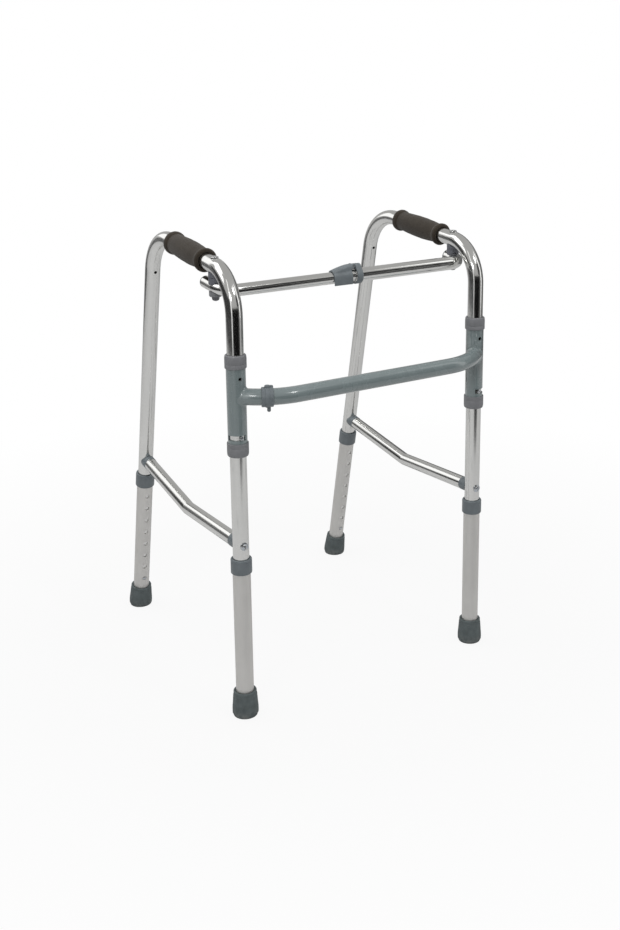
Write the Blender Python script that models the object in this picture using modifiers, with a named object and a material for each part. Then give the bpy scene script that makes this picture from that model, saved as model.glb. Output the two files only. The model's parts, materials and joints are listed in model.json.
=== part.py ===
"""Folding walker: two side frames hinged in a front H-brace, a telescoping top bar with a
latch, and four legs whose height is set by snap buttons. Metres, +Z up, front towards -Y,
origin on the floor under the middle of the walker."""
import math

import bmesh
import bpy
from mathutils import Matrix, Vector

# Clearances
SEAT = 0.0003            # gap where one piece rests on another
SLIP = 0.0003            # radial gap of a tube that slides or turns in another
PAST = 0.0100            # how far cutters run past what they cut

# Stance
HALF_SPACING = 0.2219    # front leg axis from the middle plane
TOE_IN = math.radians(1.0829)  # each side frame is turned inwards
REAR_FOOT = 0.4549       # rear foot behind the front leg, along the side frame
LEAN = math.radians(11.805)  # forward lean of the rear leg
FOLD_TRAVEL = math.radians(80.0)

# Side tube
TUBE_R = 0.0127
TUBE_WALL = 0.0013
HANDLE_Z = 0.7076        # handle line where it would meet the front leg axis
HANDLE_PITCH = math.radians(4.5967)  # the handle rises towards the back
FRONT_BEND_R = 0.0667
REAR_BEND_R = 0.0782
TUBE_END = 0.0460        # lower end of the inner tube, along the leg
TUBE_SIDES = 16
DETENT_HOLE_R = 0.0026
REAR_HOLE_Z = 0.6645
REAR_SLOPE = math.tan(LEAN)
HANDLE_SLOPE = math.tan(HANDLE_PITCH)

# Hand grip
GRIP_START = 0.0895
GRIP_LENGTH = 0.1425
GRIP_FLANGE_R = 0.0190
GRIP_WAIST_R = 0.0161
GRIP_SWELL_R = 0.0171
GRIP_FLANGE_LENGTH = 0.0090
GRIP_ROUND = 0.0025      # rounding of the flanges
GRIP_NECK = 0.0030       # length over which a flange runs down to the waist

# Height legs
LEG_R = 0.0140
LEG_FLOOR = 0.0100       # rubber under the end of the leg tube
HOLE_PITCH = 0.0254
HOLE_COUNT_FRONT = 7
HOLE_COUNT_REAR = 8
HOLE_R = 0.0037
BUTTON_S = 0.0644        # lowest hole, along the leg
LEG_COLLAR_R = 0.0165
FRONT_COLLAR_S = (0.2424, 0.2664)
REAR_COLLAR_S = (0.2608, 0.2861)
COLLAR_LIP = 0.0050
COLLAR_CHAMFER = 0.0014

# Rubber foot
FOOT_HEIGHT = 0.0419
FOOT_TOP_R = 0.0183
FOOT_MAX_R = 0.0210
FOOT_BASE_R = 0.0190
FOOT_MOUTH = 0.0060      # depth of the mouth's band
FOOT_STEP = 0.0007       # step below the band

# Snap button
BUTTON_R = 0.0034
BUTTON_PROUD = 0.0016
BUTTON_FLANGE_R = 0.0045
BUTTON_FLANGE_AT = 0.0098
BUTTON_FLANGE_T = 0.0012
SPRING_T = 0.0005
SPRING_WIDTH = 0.0070
SPRING_RISE = 0.0340
SPRING_TIPS = (0.0055, 0.0030)  # ends of the arms below the button's axis

# Side brace
BRACE_R = 0.0110
BRACE_WALL = 0.0012
BRACE_FRONT_Z = 0.2889
BRACE_KINK = (0.2015, 0.2780)
BRACE_REAR_Z = 0.3071
BRACE_KINK_R = 0.0200
PLUG_LENGTH = 0.0115     # plug that shows between the leg and the brace tube
PLUG_RIM = 0.0004
PLUG_SPIGOT = 0.0120

# Screws of the side brace
SCREW_R = 0.0025
SCREW_WASHER_R = 0.0064
SCREW_HEAD_R = 0.0046
SCREW_HEAD_H = 0.0022
SCREW_WASHER_T = 0.0012
SCREW_GRIP = 0.0090      # thread inside the plug
SCREW_SEAT_DEPTH = 0.0019  # washer's rim wraps the tube by this much

# H-brace; heights are set from the crossbar
CROSSBAR_Z = 0.5255
CROSSBAR_R = 0.0127
CROSSBAR_WALL = 0.0015
CROSSBAR_BOW = 0.0400
CROSSBAR_END_R = 0.1100
CROSSBAR_WELD = 0.0055   # the tube stops this short of the sleeve's axis
SLEEVE_R = 0.01475
SLEEVE_ABOVE = 0.0595
SLEEVE_BELOW = 0.0880
SLEEVE_COLLAR_R = 0.0165
COLLAR_COVER_TOP = 0.0156    # of the sleeve, inside each collar
COLLAR_COVER_BOTTOM = 0.0162
DETENT_ABOVE = 0.0291
SLOT_BELOW = 0.0624
SLOT_HEIGHT = 0.0078
SLOT_LEAD = math.radians(28.0)
SLOT_OVERRUN = math.radians(14.0)
STOP_HEAD_R = 0.0032
STOP_PROUD = 0.0004      # stop screw beyond the sleeve's skin
SLEEVE_Z = (CROSSBAR_Z - SLEEVE_BELOW, CROSSBAR_Z + SLEEVE_ABOVE)
TOP_COLLAR_Z = (SLEEVE_Z[1] - COLLAR_COVER_TOP, SLEEVE_Z[1] + COLLAR_LIP)
BOTTOM_COLLAR_Z = (SLEEVE_Z[0] - COLLAR_LIP, SLEEVE_Z[0] + COLLAR_COVER_BOTTOM)
DETENT_Z = CROSSBAR_Z + DETENT_ABOVE
SLOT_Z = CROSSBAR_Z - SLOT_BELOW

# Clip ring on the crossbar
CLIP_ARC = 0.0490        # along the crossbar from the left sleeve axis
CLIP_WIDTH = 0.0220
CLIP_WALL = 0.0020
CLIP_RIB = 0.0010
CLIP_BAND = 0.0052       # width of each raised band
CLIP_KNOB_SHIFT = 0.0048
CLIP_KNOB_RISE = 0.0032
CLIP_KNOB_R = 0.0042
CLIP_PIN_R = 0.0036
CLIP_PIN_DROP = 0.0080

# Top bar; its tails rise with the handles, and it hangs from them by PIVOT_GAP
BAR_OUTER_R = 0.0110
BAR_OUTER_WALL = 0.0012
BAR_INNER_WALL = 0.0012
BAR_SIDES = 14
PIVOT_AT = 0.0633        # pivot behind the front leg axis, along the side frame
PIVOT_GAP = 0.0093       # between the handle and the bar's outer tube
BAR_OFFSET = 0.0273      # main run of the bar in front of its pivots
BAR_BEND_R = 0.0270
LEFT_TAIL = 0.0325       # beyond the pivots
RIGHT_TAIL = 0.0132
BAR_MOUTH_X = 0.0070
BAR_INNER_END_X = 0.0500
BAR_PLUG_T = 0.0025
BAR_PLUG_SPIGOT = 0.0070

# Pivot stack
PIVOT_PLANE_SHARE = 0.45  # where the two saddle washers meet, between bar and handle
WASHER_R = 0.0102
SADDLE_WRAP = 0.0045
BOLT_R = 0.0030
BOLT_HOLE_R = 0.0034
BOLT_HEAD_R = 0.0062
BOLT_HEAD_H = 0.0024
UNDER_WASHER_R = 0.0098
UNDER_WASHER_T = 0.0030
UNDER_WRAP = 0.0036
NUT_R = 0.0060
NUT_H = 0.0066
NUT_SKIRT = 0.0018       # height of the nut's flange
NUT_BORE_SHARE = 0.75

# Latch of the top bar; heights are above the bar's axis
LATCH_COLLAR_X = (0.0068, 0.0172)
LATCH_WALL = 0.0027
LATCH_LOBE_R = 0.0062    # lobe on top of the collar
LATCH_LOBE_RISE = 0.0130
LATCH_PIN_X = 0.0025
LATCH_PIN_RISE = 0.0161
LATCH_PIN_R = 0.0013
LATCH_CHEEK_R = 0.0031
LATCH_WIDTH = 0.0124     # across the cheeks
LATCH_TONGUE = 0.0050
LATCH_TIP_X = -0.0345
LATCH_HEEL_X = -0.0018   # right end of the lever's side walls
LATCH_TIP_SIZE = (0.0113, 0.0112)   # half width, height
LATCH_HEEL_SIZE = (0.0124, 0.0188)
LATCH_SHELL = 0.0022
LATCH_SKIRT = 0.0110     # lever side walls below the bar's axis

SEGMENTS = 14            # small turned pieces
HOLE_SIDES = 10          # screws, pins and their holes

BORE_R = TUBE_R + SLIP
SLEEVE_BORE_R = BORE_R
BAR_INNER_R = BAR_OUTER_R - BAR_OUTER_WALL - SLIP
PIVOT_X = HALF_SPACING - PIVOT_AT * math.sin(TOE_IN)
PIVOT_Y = PIVOT_AT * math.cos(TOE_IN)
BAR_Y = PIVOT_Y - BAR_OFFSET
BAR_PIVOT_Z = HANDLE_Z + HANDLE_SLOPE * PIVOT_AT - TUBE_R - PIVOT_GAP - BAR_OUTER_R
BAR_Z = BAR_PIVOT_Z - HANDLE_SLOPE * BAR_OFFSET
LATCH_PIN_Z = BAR_Z + LATCH_PIN_RISE
SIDE_NAME = {-1: "left", 1: "right"}
TAIL = {-1: LEFT_TAIL, 1: RIGHT_TAIL}


def new_collection(name):
    collection = bpy.data.collections.new(name)
    bpy.context.scene.collection.children.link(collection)
    return collection


for stale in list(bpy.data.objects):
    bpy.data.objects.remove(stale, do_unlink=True)

PARTS = new_collection("folding_walker")
CUTTERS = new_collection("cutters")


def principled(name, colour, roughness, metallic=0.0):
    material = bpy.data.materials.new(name)
    material.use_nodes = True
    shader = material.node_tree.nodes["Principled BSDF"]
    shader.inputs["Base Color"].default_value = (*colour, 1.0)
    shader.inputs["Roughness"].default_value = roughness
    shader.inputs["Metallic"].default_value = metallic
    return material


POLISHED = principled("polished_aluminium", (0.78, 0.78, 0.80), 0.18, 1.0)
SATIN = principled("satin_aluminium", (0.62, 0.62, 0.61), 0.42, 1.0)
PAINT = principled("painted_steel", (0.16, 0.22, 0.22), 0.28)
ZINC = principled("zinc_plate", (0.60, 0.60, 0.62), 0.32, 1.0)
SPRING_STEEL = principled("spring_steel", (0.35, 0.36, 0.38), 0.35, 1.0)
GREY_PLASTIC = principled("grey_plastic", (0.11, 0.13, 0.15), 0.48)
PALE_PLASTIC = principled("pale_plastic", (0.25, 0.25, 0.25), 0.50)
RUBBER = principled("rubber", (0.06, 0.08, 0.08), 0.75)
FOAM = principled("foam_grip", (0.06, 0.05, 0.04), 0.90)


def empty(name, parent=None, location=(0, 0, 0), rotation=(0, 0, 0)):
    axis = bpy.data.objects.new(name, None)
    axis.empty_display_size = 0.02
    axis.location = location
    axis.rotation_euler = rotation
    axis.parent = parent
    PARTS.objects.link(axis)
    return axis


def bar_axis(name, origin, location):
    """Axis of a moving piece of the top bar, whose pieces are given in the walker's frame."""
    axis = empty(name, origin, location)
    axis["walker_frame"] = True
    return axis


def place(name, mesh, parent, material=None, matrix=None):
    """A part when it has a material, else a cutter. Its numbers are in its parent's own
    frame, or in the walker's where the parent is a bar pivot."""
    obj = bpy.data.objects.new(name, mesh)
    obj.parent = parent
    if parent.get("walker_frame"):
        obj.matrix_parent_inverse = Matrix.Translation(-parent.location)
    if matrix is not None:
        obj.matrix_basis = matrix
    if material is None:
        CUTTERS.objects.link(obj)
        obj.hide_render = True
        obj.display_type = "WIRE"
    else:
        PARTS.objects.link(obj)
        mesh.materials.append(material)
    return obj


def mesh_from(bm, name):
    mesh = bpy.data.meshes.new(name)
    bm.to_mesh(mesh)
    bm.free()
    return mesh


def smooth(mesh, angle=35.0):
    mesh.shade_smooth()
    mesh.set_sharp_from_angle(angle=math.radians(angle))


def along(start, end):
    """Matrix at start whose +Z points to end."""
    start, end = Vector(start), Vector(end)
    turn = (end - start).to_track_quat("Z", "Y").to_matrix().to_4x4()
    return Matrix.Translation(start) @ turn


def rod(name, start, end, radius, parent, material=None, sides=SEGMENTS):
    """Straight solid cylinder between two points."""
    length = (Vector(end) - Vector(start)).length
    bm = bmesh.new()
    bmesh.ops.create_cone(bm, cap_ends=True, segments=sides, radius1=radius, radius2=radius,
                          depth=length, matrix=Matrix.Translation((0, 0, length / 2)))
    mesh = mesh_from(bm, name)
    smooth(mesh)
    return place(name, mesh, parent, material, along(start, end))


def block(name, centre, size, parent, material=None):
    bm = bmesh.new()
    bmesh.ops.create_cube(bm, size=1.0, matrix=Matrix.Translation(centre) @ Matrix.Diagonal((*size, 1)))
    return place(name, mesh_from(bm, name), parent, material)


def turned(name, profile, parent, material=None, matrix=None, steps=SEGMENTS, closed=False):
    """Screw a profile of (radius, height) points about local Z, outer side running down."""
    mesh = bpy.data.meshes.new(name)
    count = len(profile)
    edges = [(i, i + 1) for i in range(count - 1)]
    if closed:
        edges.append((count - 1, 0))
    mesh.from_pydata([(r, 0.0, z) for r, z in profile], edges, [])
    obj = place(name, mesh, parent, material, matrix)
    screw = obj.modifiers.new("turn", "SCREW")
    screw.steps = steps
    screw.render_steps = steps
    screw.use_merge_vertices = True
    screw.merge_threshold = 0.00001
    screw.use_smooth_shade = True
    return obj


def pipe_mesh(name, points, radius, sides):
    """Closed mesh of a round tube along points."""
    curve = bpy.data.curves.new(name, "CURVE")
    curve.dimensions = "3D"
    curve.bevel_depth = radius
    curve.bevel_resolution = (sides - 4) // 2
    curve.use_fill_caps = True
    spline = curve.splines.new("POLY")
    spline.points.add(len(points) - 1)
    for slot, point in zip(spline.points, points):
        slot.co = (*point, 1.0)
    guide = bpy.data.objects.new(name, curve)
    CUTTERS.objects.link(guide)
    bpy.context.view_layer.update()
    evaluated = guide.evaluated_get(bpy.context.evaluated_depsgraph_get())
    mesh = bpy.data.meshes.new_from_object(evaluated)
    bpy.data.objects.remove(guide, do_unlink=True)
    bpy.data.curves.remove(curve)
    mesh.name = name
    bm = bmesh.new()
    bm.from_mesh(mesh)
    bmesh.ops.remove_doubles(bm, verts=bm.verts, dist=0.00001)
    bmesh.ops.recalc_face_normals(bm, faces=bm.faces)
    bm.to_mesh(mesh)
    bm.free()
    smooth(mesh, 50.0)
    return mesh


def pipe(name, points, radius, parent, material=None, sides=TUBE_SIDES):
    return place(name, pipe_mesh(name, points, radius, sides), parent, material)


def boolean(obj, cutter, operation):
    step = obj.modifiers.new(cutter.name, "BOOLEAN")
    step.operation = operation
    step.solver = "EXACT"
    step.object = cutter


def cut(obj, *cutters):
    for cutter in cutters:
        boolean(obj, cutter, "DIFFERENCE")


def join(obj, *pieces):
    for piece in pieces:
        boolean(obj, piece, "UNION")


def fillet(before, corner, after, radius, steps):
    """Arc of a given radius between two straight runs that meet at corner."""
    corner = Vector(corner)
    entry = (corner - Vector(before)).normalized()
    leave = (Vector(after) - corner).normalized()
    turn = entry.angle(leave)
    reach = radius * math.tan(turn / 2)
    start = corner - entry * reach
    bend_axis = entry.cross(leave).normalized()
    centre = start + bend_axis.cross(entry) * radius
    spoke = start - centre
    return [centre + Matrix.Rotation(turn * i / steps, 3, bend_axis) @ spoke
            for i in range(steps + 1)]


def stretched(points, extra):
    """The same path run on past both ends, for cutting an open bore."""
    first, last = Vector(points[0]), Vector(points[-1])
    before = first + (first - Vector(points[1])).normalized() * extra
    after = last + (last - Vector(points[-2])).normalized() * extra
    return [before, *points, after]


def handle_z(u):
    return HANDLE_Z + HANDLE_SLOPE * u


def rear_u(z):
    return REAR_FOOT - REAR_SLOPE * z


def side_tube_path():
    """Front leg, handle and rear leg, in the side frame's own plane."""
    foot = Vector((0, 0, TUBE_END))
    front_corner = Vector((0, 0, HANDLE_Z))
    corner_z = (HANDLE_Z + HANDLE_SLOPE * REAR_FOOT) / (1 + HANDLE_SLOPE * REAR_SLOPE)
    rear_corner = Vector((0, rear_u(corner_z), corner_z))
    rear_end_z = TUBE_END * math.cos(LEAN)
    rear_foot = Vector((0, rear_u(rear_end_z), rear_end_z))
    front_bend = fillet(foot, front_corner, rear_corner, FRONT_BEND_R, 8)
    rear_bend = fillet(front_corner, rear_corner, rear_foot, REAR_BEND_R, 8)
    return [foot, *front_bend, *rear_bend, rear_foot]


def brace_path():
    """Axis of the side brace, from the front leg's axis to the rear leg's."""
    front = Vector((0, 0, BRACE_FRONT_Z))
    kink = Vector((0, *BRACE_KINK))
    rear = Vector((0, rear_u(BRACE_REAR_Z), BRACE_REAR_Z))
    return front, fillet(front, kink, rear, BRACE_KINK_R, 4), rear


def crossbar_path(short=0.0, steps=7):
    """Bowed crossbar between the two sleeve axes, or ending short of them."""
    sweep = math.acos((CROSSBAR_END_R - CROSSBAR_BOW) / CROSSBAR_END_R)
    straight = HALF_SPACING - CROSSBAR_END_R * math.sin(sweep)
    right = []
    for i in range(steps + 1):
        angle = (sweep - short / CROSSBAR_END_R) * i / steps
        right.append(Vector((straight + CROSSBAR_END_R * math.sin(angle),
                             CROSSBAR_END_R * (1 - math.cos(angle)) - CROSSBAR_BOW,
                             CROSSBAR_Z)))
    left = [Vector((-p.x, p.y, p.z)) for p in reversed(right)]
    return left + right


def bar_path(side, inner_x):
    """Half of the top bar, from inside the latch to its tail behind the pivot."""
    mouth = Vector((inner_x, BAR_Y, BAR_Z))
    corner = Vector((side * PIVOT_X, BAR_Y, BAR_Z))
    run = BAR_OFFSET + TAIL[side]
    tail = corner + Vector((0, run, run * HANDLE_SLOPE))
    return [mouth, *fillet(mouth, corner, tail, BAR_BEND_R, 6), tail]


def ring_sector(name, radii, heights, angles, parent):
    """Cutter shaped as part of a ring; angles run from -Y, positive towards +X."""
    inner, outer = radii
    low, high = heights
    bm = bmesh.new()
    corners = [(inner, low), (outer, low), (outer, high), (inner, high)]
    start = Matrix.Rotation(angles[0], 3, "Z")
    verts = [bm.verts.new(start @ Vector((0, -r, z))) for r, z in corners]
    face = bm.faces.new(verts)
    bmesh.ops.spin(bm, geom=[face], cent=(0, 0, 0), axis=(0, 0, 1),
                   angle=angles[1] - angles[0], steps=14, use_duplicate=False)
    bmesh.ops.recalc_face_normals(bm, faces=bm.faces)
    return place(name, mesh_from(bm, name), parent)


def sleeve_slot(side, axis):
    """Slot that the stop screw sweeps as the side frame folds inwards."""
    outward = FOLD_TRAVEL + SLOT_OVERRUN
    angles = (-SLOT_LEAD, outward) if side > 0 else (-outward, SLOT_LEAD)
    heights = (SLOT_Z - SLOT_HEIGHT / 2, SLOT_Z + SLOT_HEIGHT / 2)
    name = f"{SIDE_NAME[side]}_sleeve_slot"
    return ring_sector(name, (TUBE_R - TUBE_WALL, SLEEVE_R * 1.2), heights, angles, axis)


def h_brace(origin, axes):
    """Two sleeves and the bowed crossbar, welded into one hollow frame."""
    brace = pipe("h_brace", crossbar_path(CROSSBAR_WELD), CROSSBAR_R, origin, PAINT)
    bore = pipe("crossbar_bore", crossbar_path(), CROSSBAR_R - CROSSBAR_WALL, origin)
    low, high = SLEEVE_Z
    for side, axis in axes.items():
        label = SIDE_NAME[side]
        join(brace, rod(f"{label}_sleeve_skin", (0, 0, low), (0, 0, high), SLEEVE_R, axis,
                        sides=TUBE_SIDES))
    for side, axis in axes.items():
        label = SIDE_NAME[side]
        cut(brace,
            rod(f"{label}_sleeve_bore", (0, 0, low - PAST), (0, 0, high + PAST),
                SLEEVE_BORE_R, axis, sides=TUBE_SIDES),
            sleeve_slot(side, axis),
            rod(f"{label}_sleeve_detent", (0, 0, DETENT_Z), (0, -SLEEVE_R * 1.2, DETENT_Z),
                DETENT_HOLE_R, axis, sides=HOLE_SIDES))
    cut(brace, bore)
    return brace


def collar_profile(skirt_end, lip_end, tube_end, outer_r, skirt_r):
    """L-section of a collar on a tube's end: skirt round the outer tube, lip on the inner."""
    chamfer = COLLAR_CHAMFER
    turn = 1 if lip_end > skirt_end else -1
    outer = [(outer_r - chamfer, lip_end), (outer_r, lip_end - turn * chamfer),
             (outer_r, skirt_end + turn * chamfer), (outer_r - chamfer, skirt_end)]
    inner = [(skirt_r, skirt_end), (skirt_r, tube_end + turn * SEAT),
             (BORE_R, tube_end + turn * SEAT), (BORE_R, lip_end)]
    return outer + inner if turn > 0 else list(reversed(outer)) + list(reversed(inner))


def sleeve_collars(label, axis):
    skirt_r = SLEEVE_R + SEAT
    top = collar_profile(TOP_COLLAR_Z[0], TOP_COLLAR_Z[1], SLEEVE_Z[1], SLEEVE_COLLAR_R, skirt_r)
    bottom = collar_profile(BOTTOM_COLLAR_Z[1], BOTTOM_COLLAR_Z[0], SLEEVE_Z[0],
                            SLEEVE_COLLAR_R, skirt_r)
    turned(f"{label}_sleeve_top_collar", top, axis, PALE_PLASTIC, steps=TUBE_SIDES, closed=True)
    turned(f"{label}_sleeve_bottom_collar", bottom, axis, PALE_PLASTIC, steps=TUBE_SIDES,
           closed=True)


def crossbar_clip(origin):
    """Ribbed clip ring near the left sleeve, with its pin pushed up from below."""
    angle = CLIP_ARC / CROSSBAR_END_R
    sweep = math.acos((CROSSBAR_END_R - CROSSBAR_BOW) / CROSSBAR_END_R)
    left = sweep - angle
    straight = HALF_SPACING - CROSSBAR_END_R * math.sin(sweep)
    centre = Vector((-straight - CROSSBAR_END_R * math.sin(left),
                     CROSSBAR_END_R * (1 - math.cos(left)) - CROSSBAR_BOW, CROSSBAR_Z))
    tangent = Vector((math.cos(left), -math.sin(left), 0))
    inner = CROSSBAR_R - CROSSBAR_WALL
    outer = CROSSBAR_R + SEAT + CLIP_WALL
    half = CLIP_WIDTH / 2
    band = CLIP_BAND
    rib = outer + CLIP_RIB
    profile = [(rib, half), (rib, half - band), (outer, half - band), (outer, band / 2),
               (rib, band / 2), (rib, -band / 2), (outer, -band / 2), (outer, band - half),
               (rib, band - half), (rib, -half), (inner, -half), (inner, half)]
    ring = turned("crossbar_clip_ring", profile, origin, GREY_PLASTIC,
                  along(centre, centre + tangent), steps=TUBE_SIDES, closed=True)
    cut(ring, pipe("crossbar_envelope", crossbar_path(), CROSSBAR_R + SEAT, origin))
    top = Vector((0, 0, outer))
    for index, shift in enumerate((-CLIP_KNOB_SHIFT, CLIP_KNOB_SHIFT)):
        foot = centre + tangent * shift + top - Vector((0, 0, CLIP_WALL / 2))
        join(ring, rod(f"crossbar_clip_knob_{index}", foot,
                       foot + Vector((0, 0, CLIP_WALL / 2 + CLIP_KNOB_RISE)),
                       CLIP_KNOB_R, origin, sides=HOLE_SIDES))
    pin_top = centre - Vector((0, 0, CROSSBAR_R + SEAT * 2))
    pin_end = centre - Vector((0, 0, outer + CLIP_PIN_DROP))
    cut(ring, rod("crossbar_clip_pin_hole", centre - top * 0.8, pin_end, CLIP_PIN_R + SEAT,
                  origin, sides=HOLE_SIDES))
    height = (pin_top - pin_end).length
    turned("crossbar_clip_pin",
           [(0, height), (CLIP_PIN_R, height), (CLIP_PIN_R, COLLAR_CHAMFER),
            (CLIP_PIN_R - COLLAR_CHAMFER * 0.7, 0), (0, 0)],
           origin, GREY_PLASTIC, Matrix.Translation(pin_end), steps=HOLE_SIDES)


def side_envelope(label, axis):
    """Skin of the side tube plus a seat gap, which cuts what hugs the tube."""
    return pipe(f"{label}_side_envelope", side_tube_path(), TUBE_R + SEAT, axis)


def side_tube(label, axis, rear_axis):
    path = side_tube_path()
    tube = pipe(f"{label}_side_tube", path, TUBE_R, axis, POLISHED)
    bore = pipe(f"{label}_side_bore", stretched(path, PAST), TUBE_R - TUBE_WALL, axis)
    past = TUBE_R * 1.3
    rear_hole_u = rear_u(REAR_HOLE_Z)
    rear_brace_u = rear_u(BRACE_REAR_Z)
    cut(tube, bore,
        rod(f"{label}_pivot_hole", (0, PIVOT_AT, handle_z(PIVOT_AT) - past),
            (0, PIVOT_AT, handle_z(PIVOT_AT) + past), BOLT_HOLE_R, axis, sides=HOLE_SIDES),
        rod(f"{label}_front_brace_hole", (0, -past, BRACE_FRONT_Z), (0, past, BRACE_FRONT_Z),
            SCREW_R + SEAT, axis, sides=HOLE_SIDES),
        rod(f"{label}_rear_brace_hole", (0, rear_brace_u - past, BRACE_REAR_Z),
            (0, rear_brace_u + past, BRACE_REAR_Z), SCREW_R + SEAT, axis, sides=HOLE_SIDES),
        rod(f"{label}_stop_hole", (0, 0, SLOT_Z), (0, -past, SLOT_Z), SCREW_R + SEAT, axis,
            sides=HOLE_SIDES),
        rod(f"{label}_detent_hole", (0, 0, DETENT_Z), (0, -past, DETENT_Z), DETENT_HOLE_R, axis,
            sides=HOLE_SIDES),
        rod(f"{label}_rear_hole", (0, rear_hole_u, REAR_HOLE_Z),
            (0, rear_hole_u - past, REAR_HOLE_Z - past * REAR_SLOPE), DETENT_HOLE_R, axis,
            sides=HOLE_SIDES),
        rod(f"{label}_front_button_hole", (0, 0, BUTTON_S), (0, past, BUTTON_S), HOLE_R, axis,
            sides=HOLE_SIDES),
        rod(f"{label}_rear_button_hole", (0, 0, BUTTON_S), (0, -past, BUTTON_S), HOLE_R,
            rear_axis, sides=HOLE_SIDES))


def hand_grip(label, axis):
    """Foam grip: two rounded flanges, drawn in beside them, with a slight swell between."""
    half = GRIP_LENGTH / 2
    lip = GRIP_FLANGE_LENGTH
    bore = TUBE_R + SEAT
    edge = half - GRIP_ROUND
    neck = half - lip - GRIP_NECK
    profile = [(GRIP_FLANGE_R - GRIP_ROUND, half), (GRIP_FLANGE_R, edge),
               (GRIP_FLANGE_R, edge - lip / 2), (GRIP_WAIST_R, neck)]
    for i in range(1, 8):
        share = i / 8
        radius = GRIP_WAIST_R + (GRIP_SWELL_R - GRIP_WAIST_R) * math.sin(math.pi * share)
        profile.append((radius, neck * (1 - 2 * share)))
    profile += [(GRIP_WAIST_R, -neck), (GRIP_FLANGE_R, lip / 2 - edge), (GRIP_FLANGE_R, -edge),
                (GRIP_FLANGE_R - GRIP_ROUND, -half), (bore, -half), (bore, half)]
    direction = Vector((0, 1, HANDLE_SLOPE)).normalized()
    start = Vector((0, GRIP_START, handle_z(GRIP_START)))
    centre = start + direction * half
    turned(f"{label}_grip", profile, axis, FOAM, along(centre, centre + direction),
           steps=TUBE_SIDES, closed=True)


def side_brace(label, axis):
    """Cranked brace tube, its two saddle plugs and the screws that hold them."""
    front, bend, rear = brace_path()
    reach = TUBE_R + SEAT + PLUG_LENGTH
    front_run = (bend[0] - front).normalized()
    rear_run = (bend[-1] - rear).normalized()
    path = [front + front_run * reach, *bend, rear + rear_run * reach]
    tube = pipe(f"{label}_side_brace", path, BRACE_R, axis, POLISHED, sides=BAR_SIDES)
    cut(tube, pipe(f"{label}_brace_bore", stretched(path, PAST), BRACE_R - BRACE_WALL, axis,
                   sides=BAR_SIDES))
    envelope = side_envelope(label, axis)
    spigot_r = BRACE_R - BRACE_WALL - SEAT
    plug_r = BRACE_R + PLUG_RIM
    far = reach + PLUG_SPIGOT
    profile = [(0, far), (spigot_r, far),
               (spigot_r, reach - SEAT), (plug_r, reach - SEAT), (plug_r, 0), (0, 0)]
    for end, foot, run in (("front", front, front_run), ("rear", rear, rear_run)):
        plug = turned(f"{label}_brace_{end}_plug", profile, axis, GREY_PLASTIC,
                      along(foot, foot + run))
        outward = Vector((0, -1 if end == "front" else 1, 0))
        tip = foot - outward * (TUBE_R + SCREW_GRIP)
        cut(plug, envelope,
            rod(f"{label}_brace_{end}_thread", foot, tip - outward * SEAT, SCREW_R + SEAT, axis,
                sides=HOLE_SIDES))
        brace_screw(f"{label}_brace_{end}_screw", foot, outward, axis, envelope)


def brace_screw(name, foot, outward, axis, envelope):
    """Cross-head screw with a curved washer, through the leg and into the plug."""
    skin = TUBE_R + SEAT
    washer = skin + SCREW_WASHER_T
    base = skin - SCREW_SEAT_DEPTH
    tip = -(TUBE_R + SCREW_GRIP)
    head = [(0, washer + SCREW_HEAD_H), (SCREW_HEAD_R * 0.6, washer + SCREW_HEAD_H * 0.85),
            (SCREW_HEAD_R, washer + SCREW_HEAD_H * 0.3), (SCREW_HEAD_R, washer),
            (SCREW_WASHER_R, washer - SEAT), (SCREW_WASHER_R, base), (0, base)]
    screw = turned(name, head, axis, ZINC, along(foot, foot + outward))
    cut(screw, envelope)
    join(screw, rod(f"{name}_shank", foot + outward * tip, foot + outward * washer, SCREW_R,
                    axis, sides=HOLE_SIDES))


def stop_screw(label, axis):
    """Screw in the front leg whose head runs in the sleeve's slot."""
    head_top = SLEEVE_R + STOP_PROUD
    tip = TUBE_R - TUBE_WALL * 4
    profile = [(0, head_top), (STOP_HEAD_R * 0.7, head_top), (STOP_HEAD_R, head_top - SEAT * 2),
               (STOP_HEAD_R, TUBE_R + SEAT), (SCREW_R, TUBE_R + SEAT), (SCREW_R, tip), (0, tip)]
    foot = Vector((0, 0, SLOT_Z))
    turned(f"{label}_stop_screw", profile, axis, ZINC, along(foot, foot + Vector((0, -1, 0))),
           steps=HOLE_SIDES)


def pivot_plane():
    """Height at which the upper and lower saddle washers turn on each other."""
    return BAR_PIVOT_Z + BAR_OUTER_R + PIVOT_GAP * PIVOT_PLANE_SHARE


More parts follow.
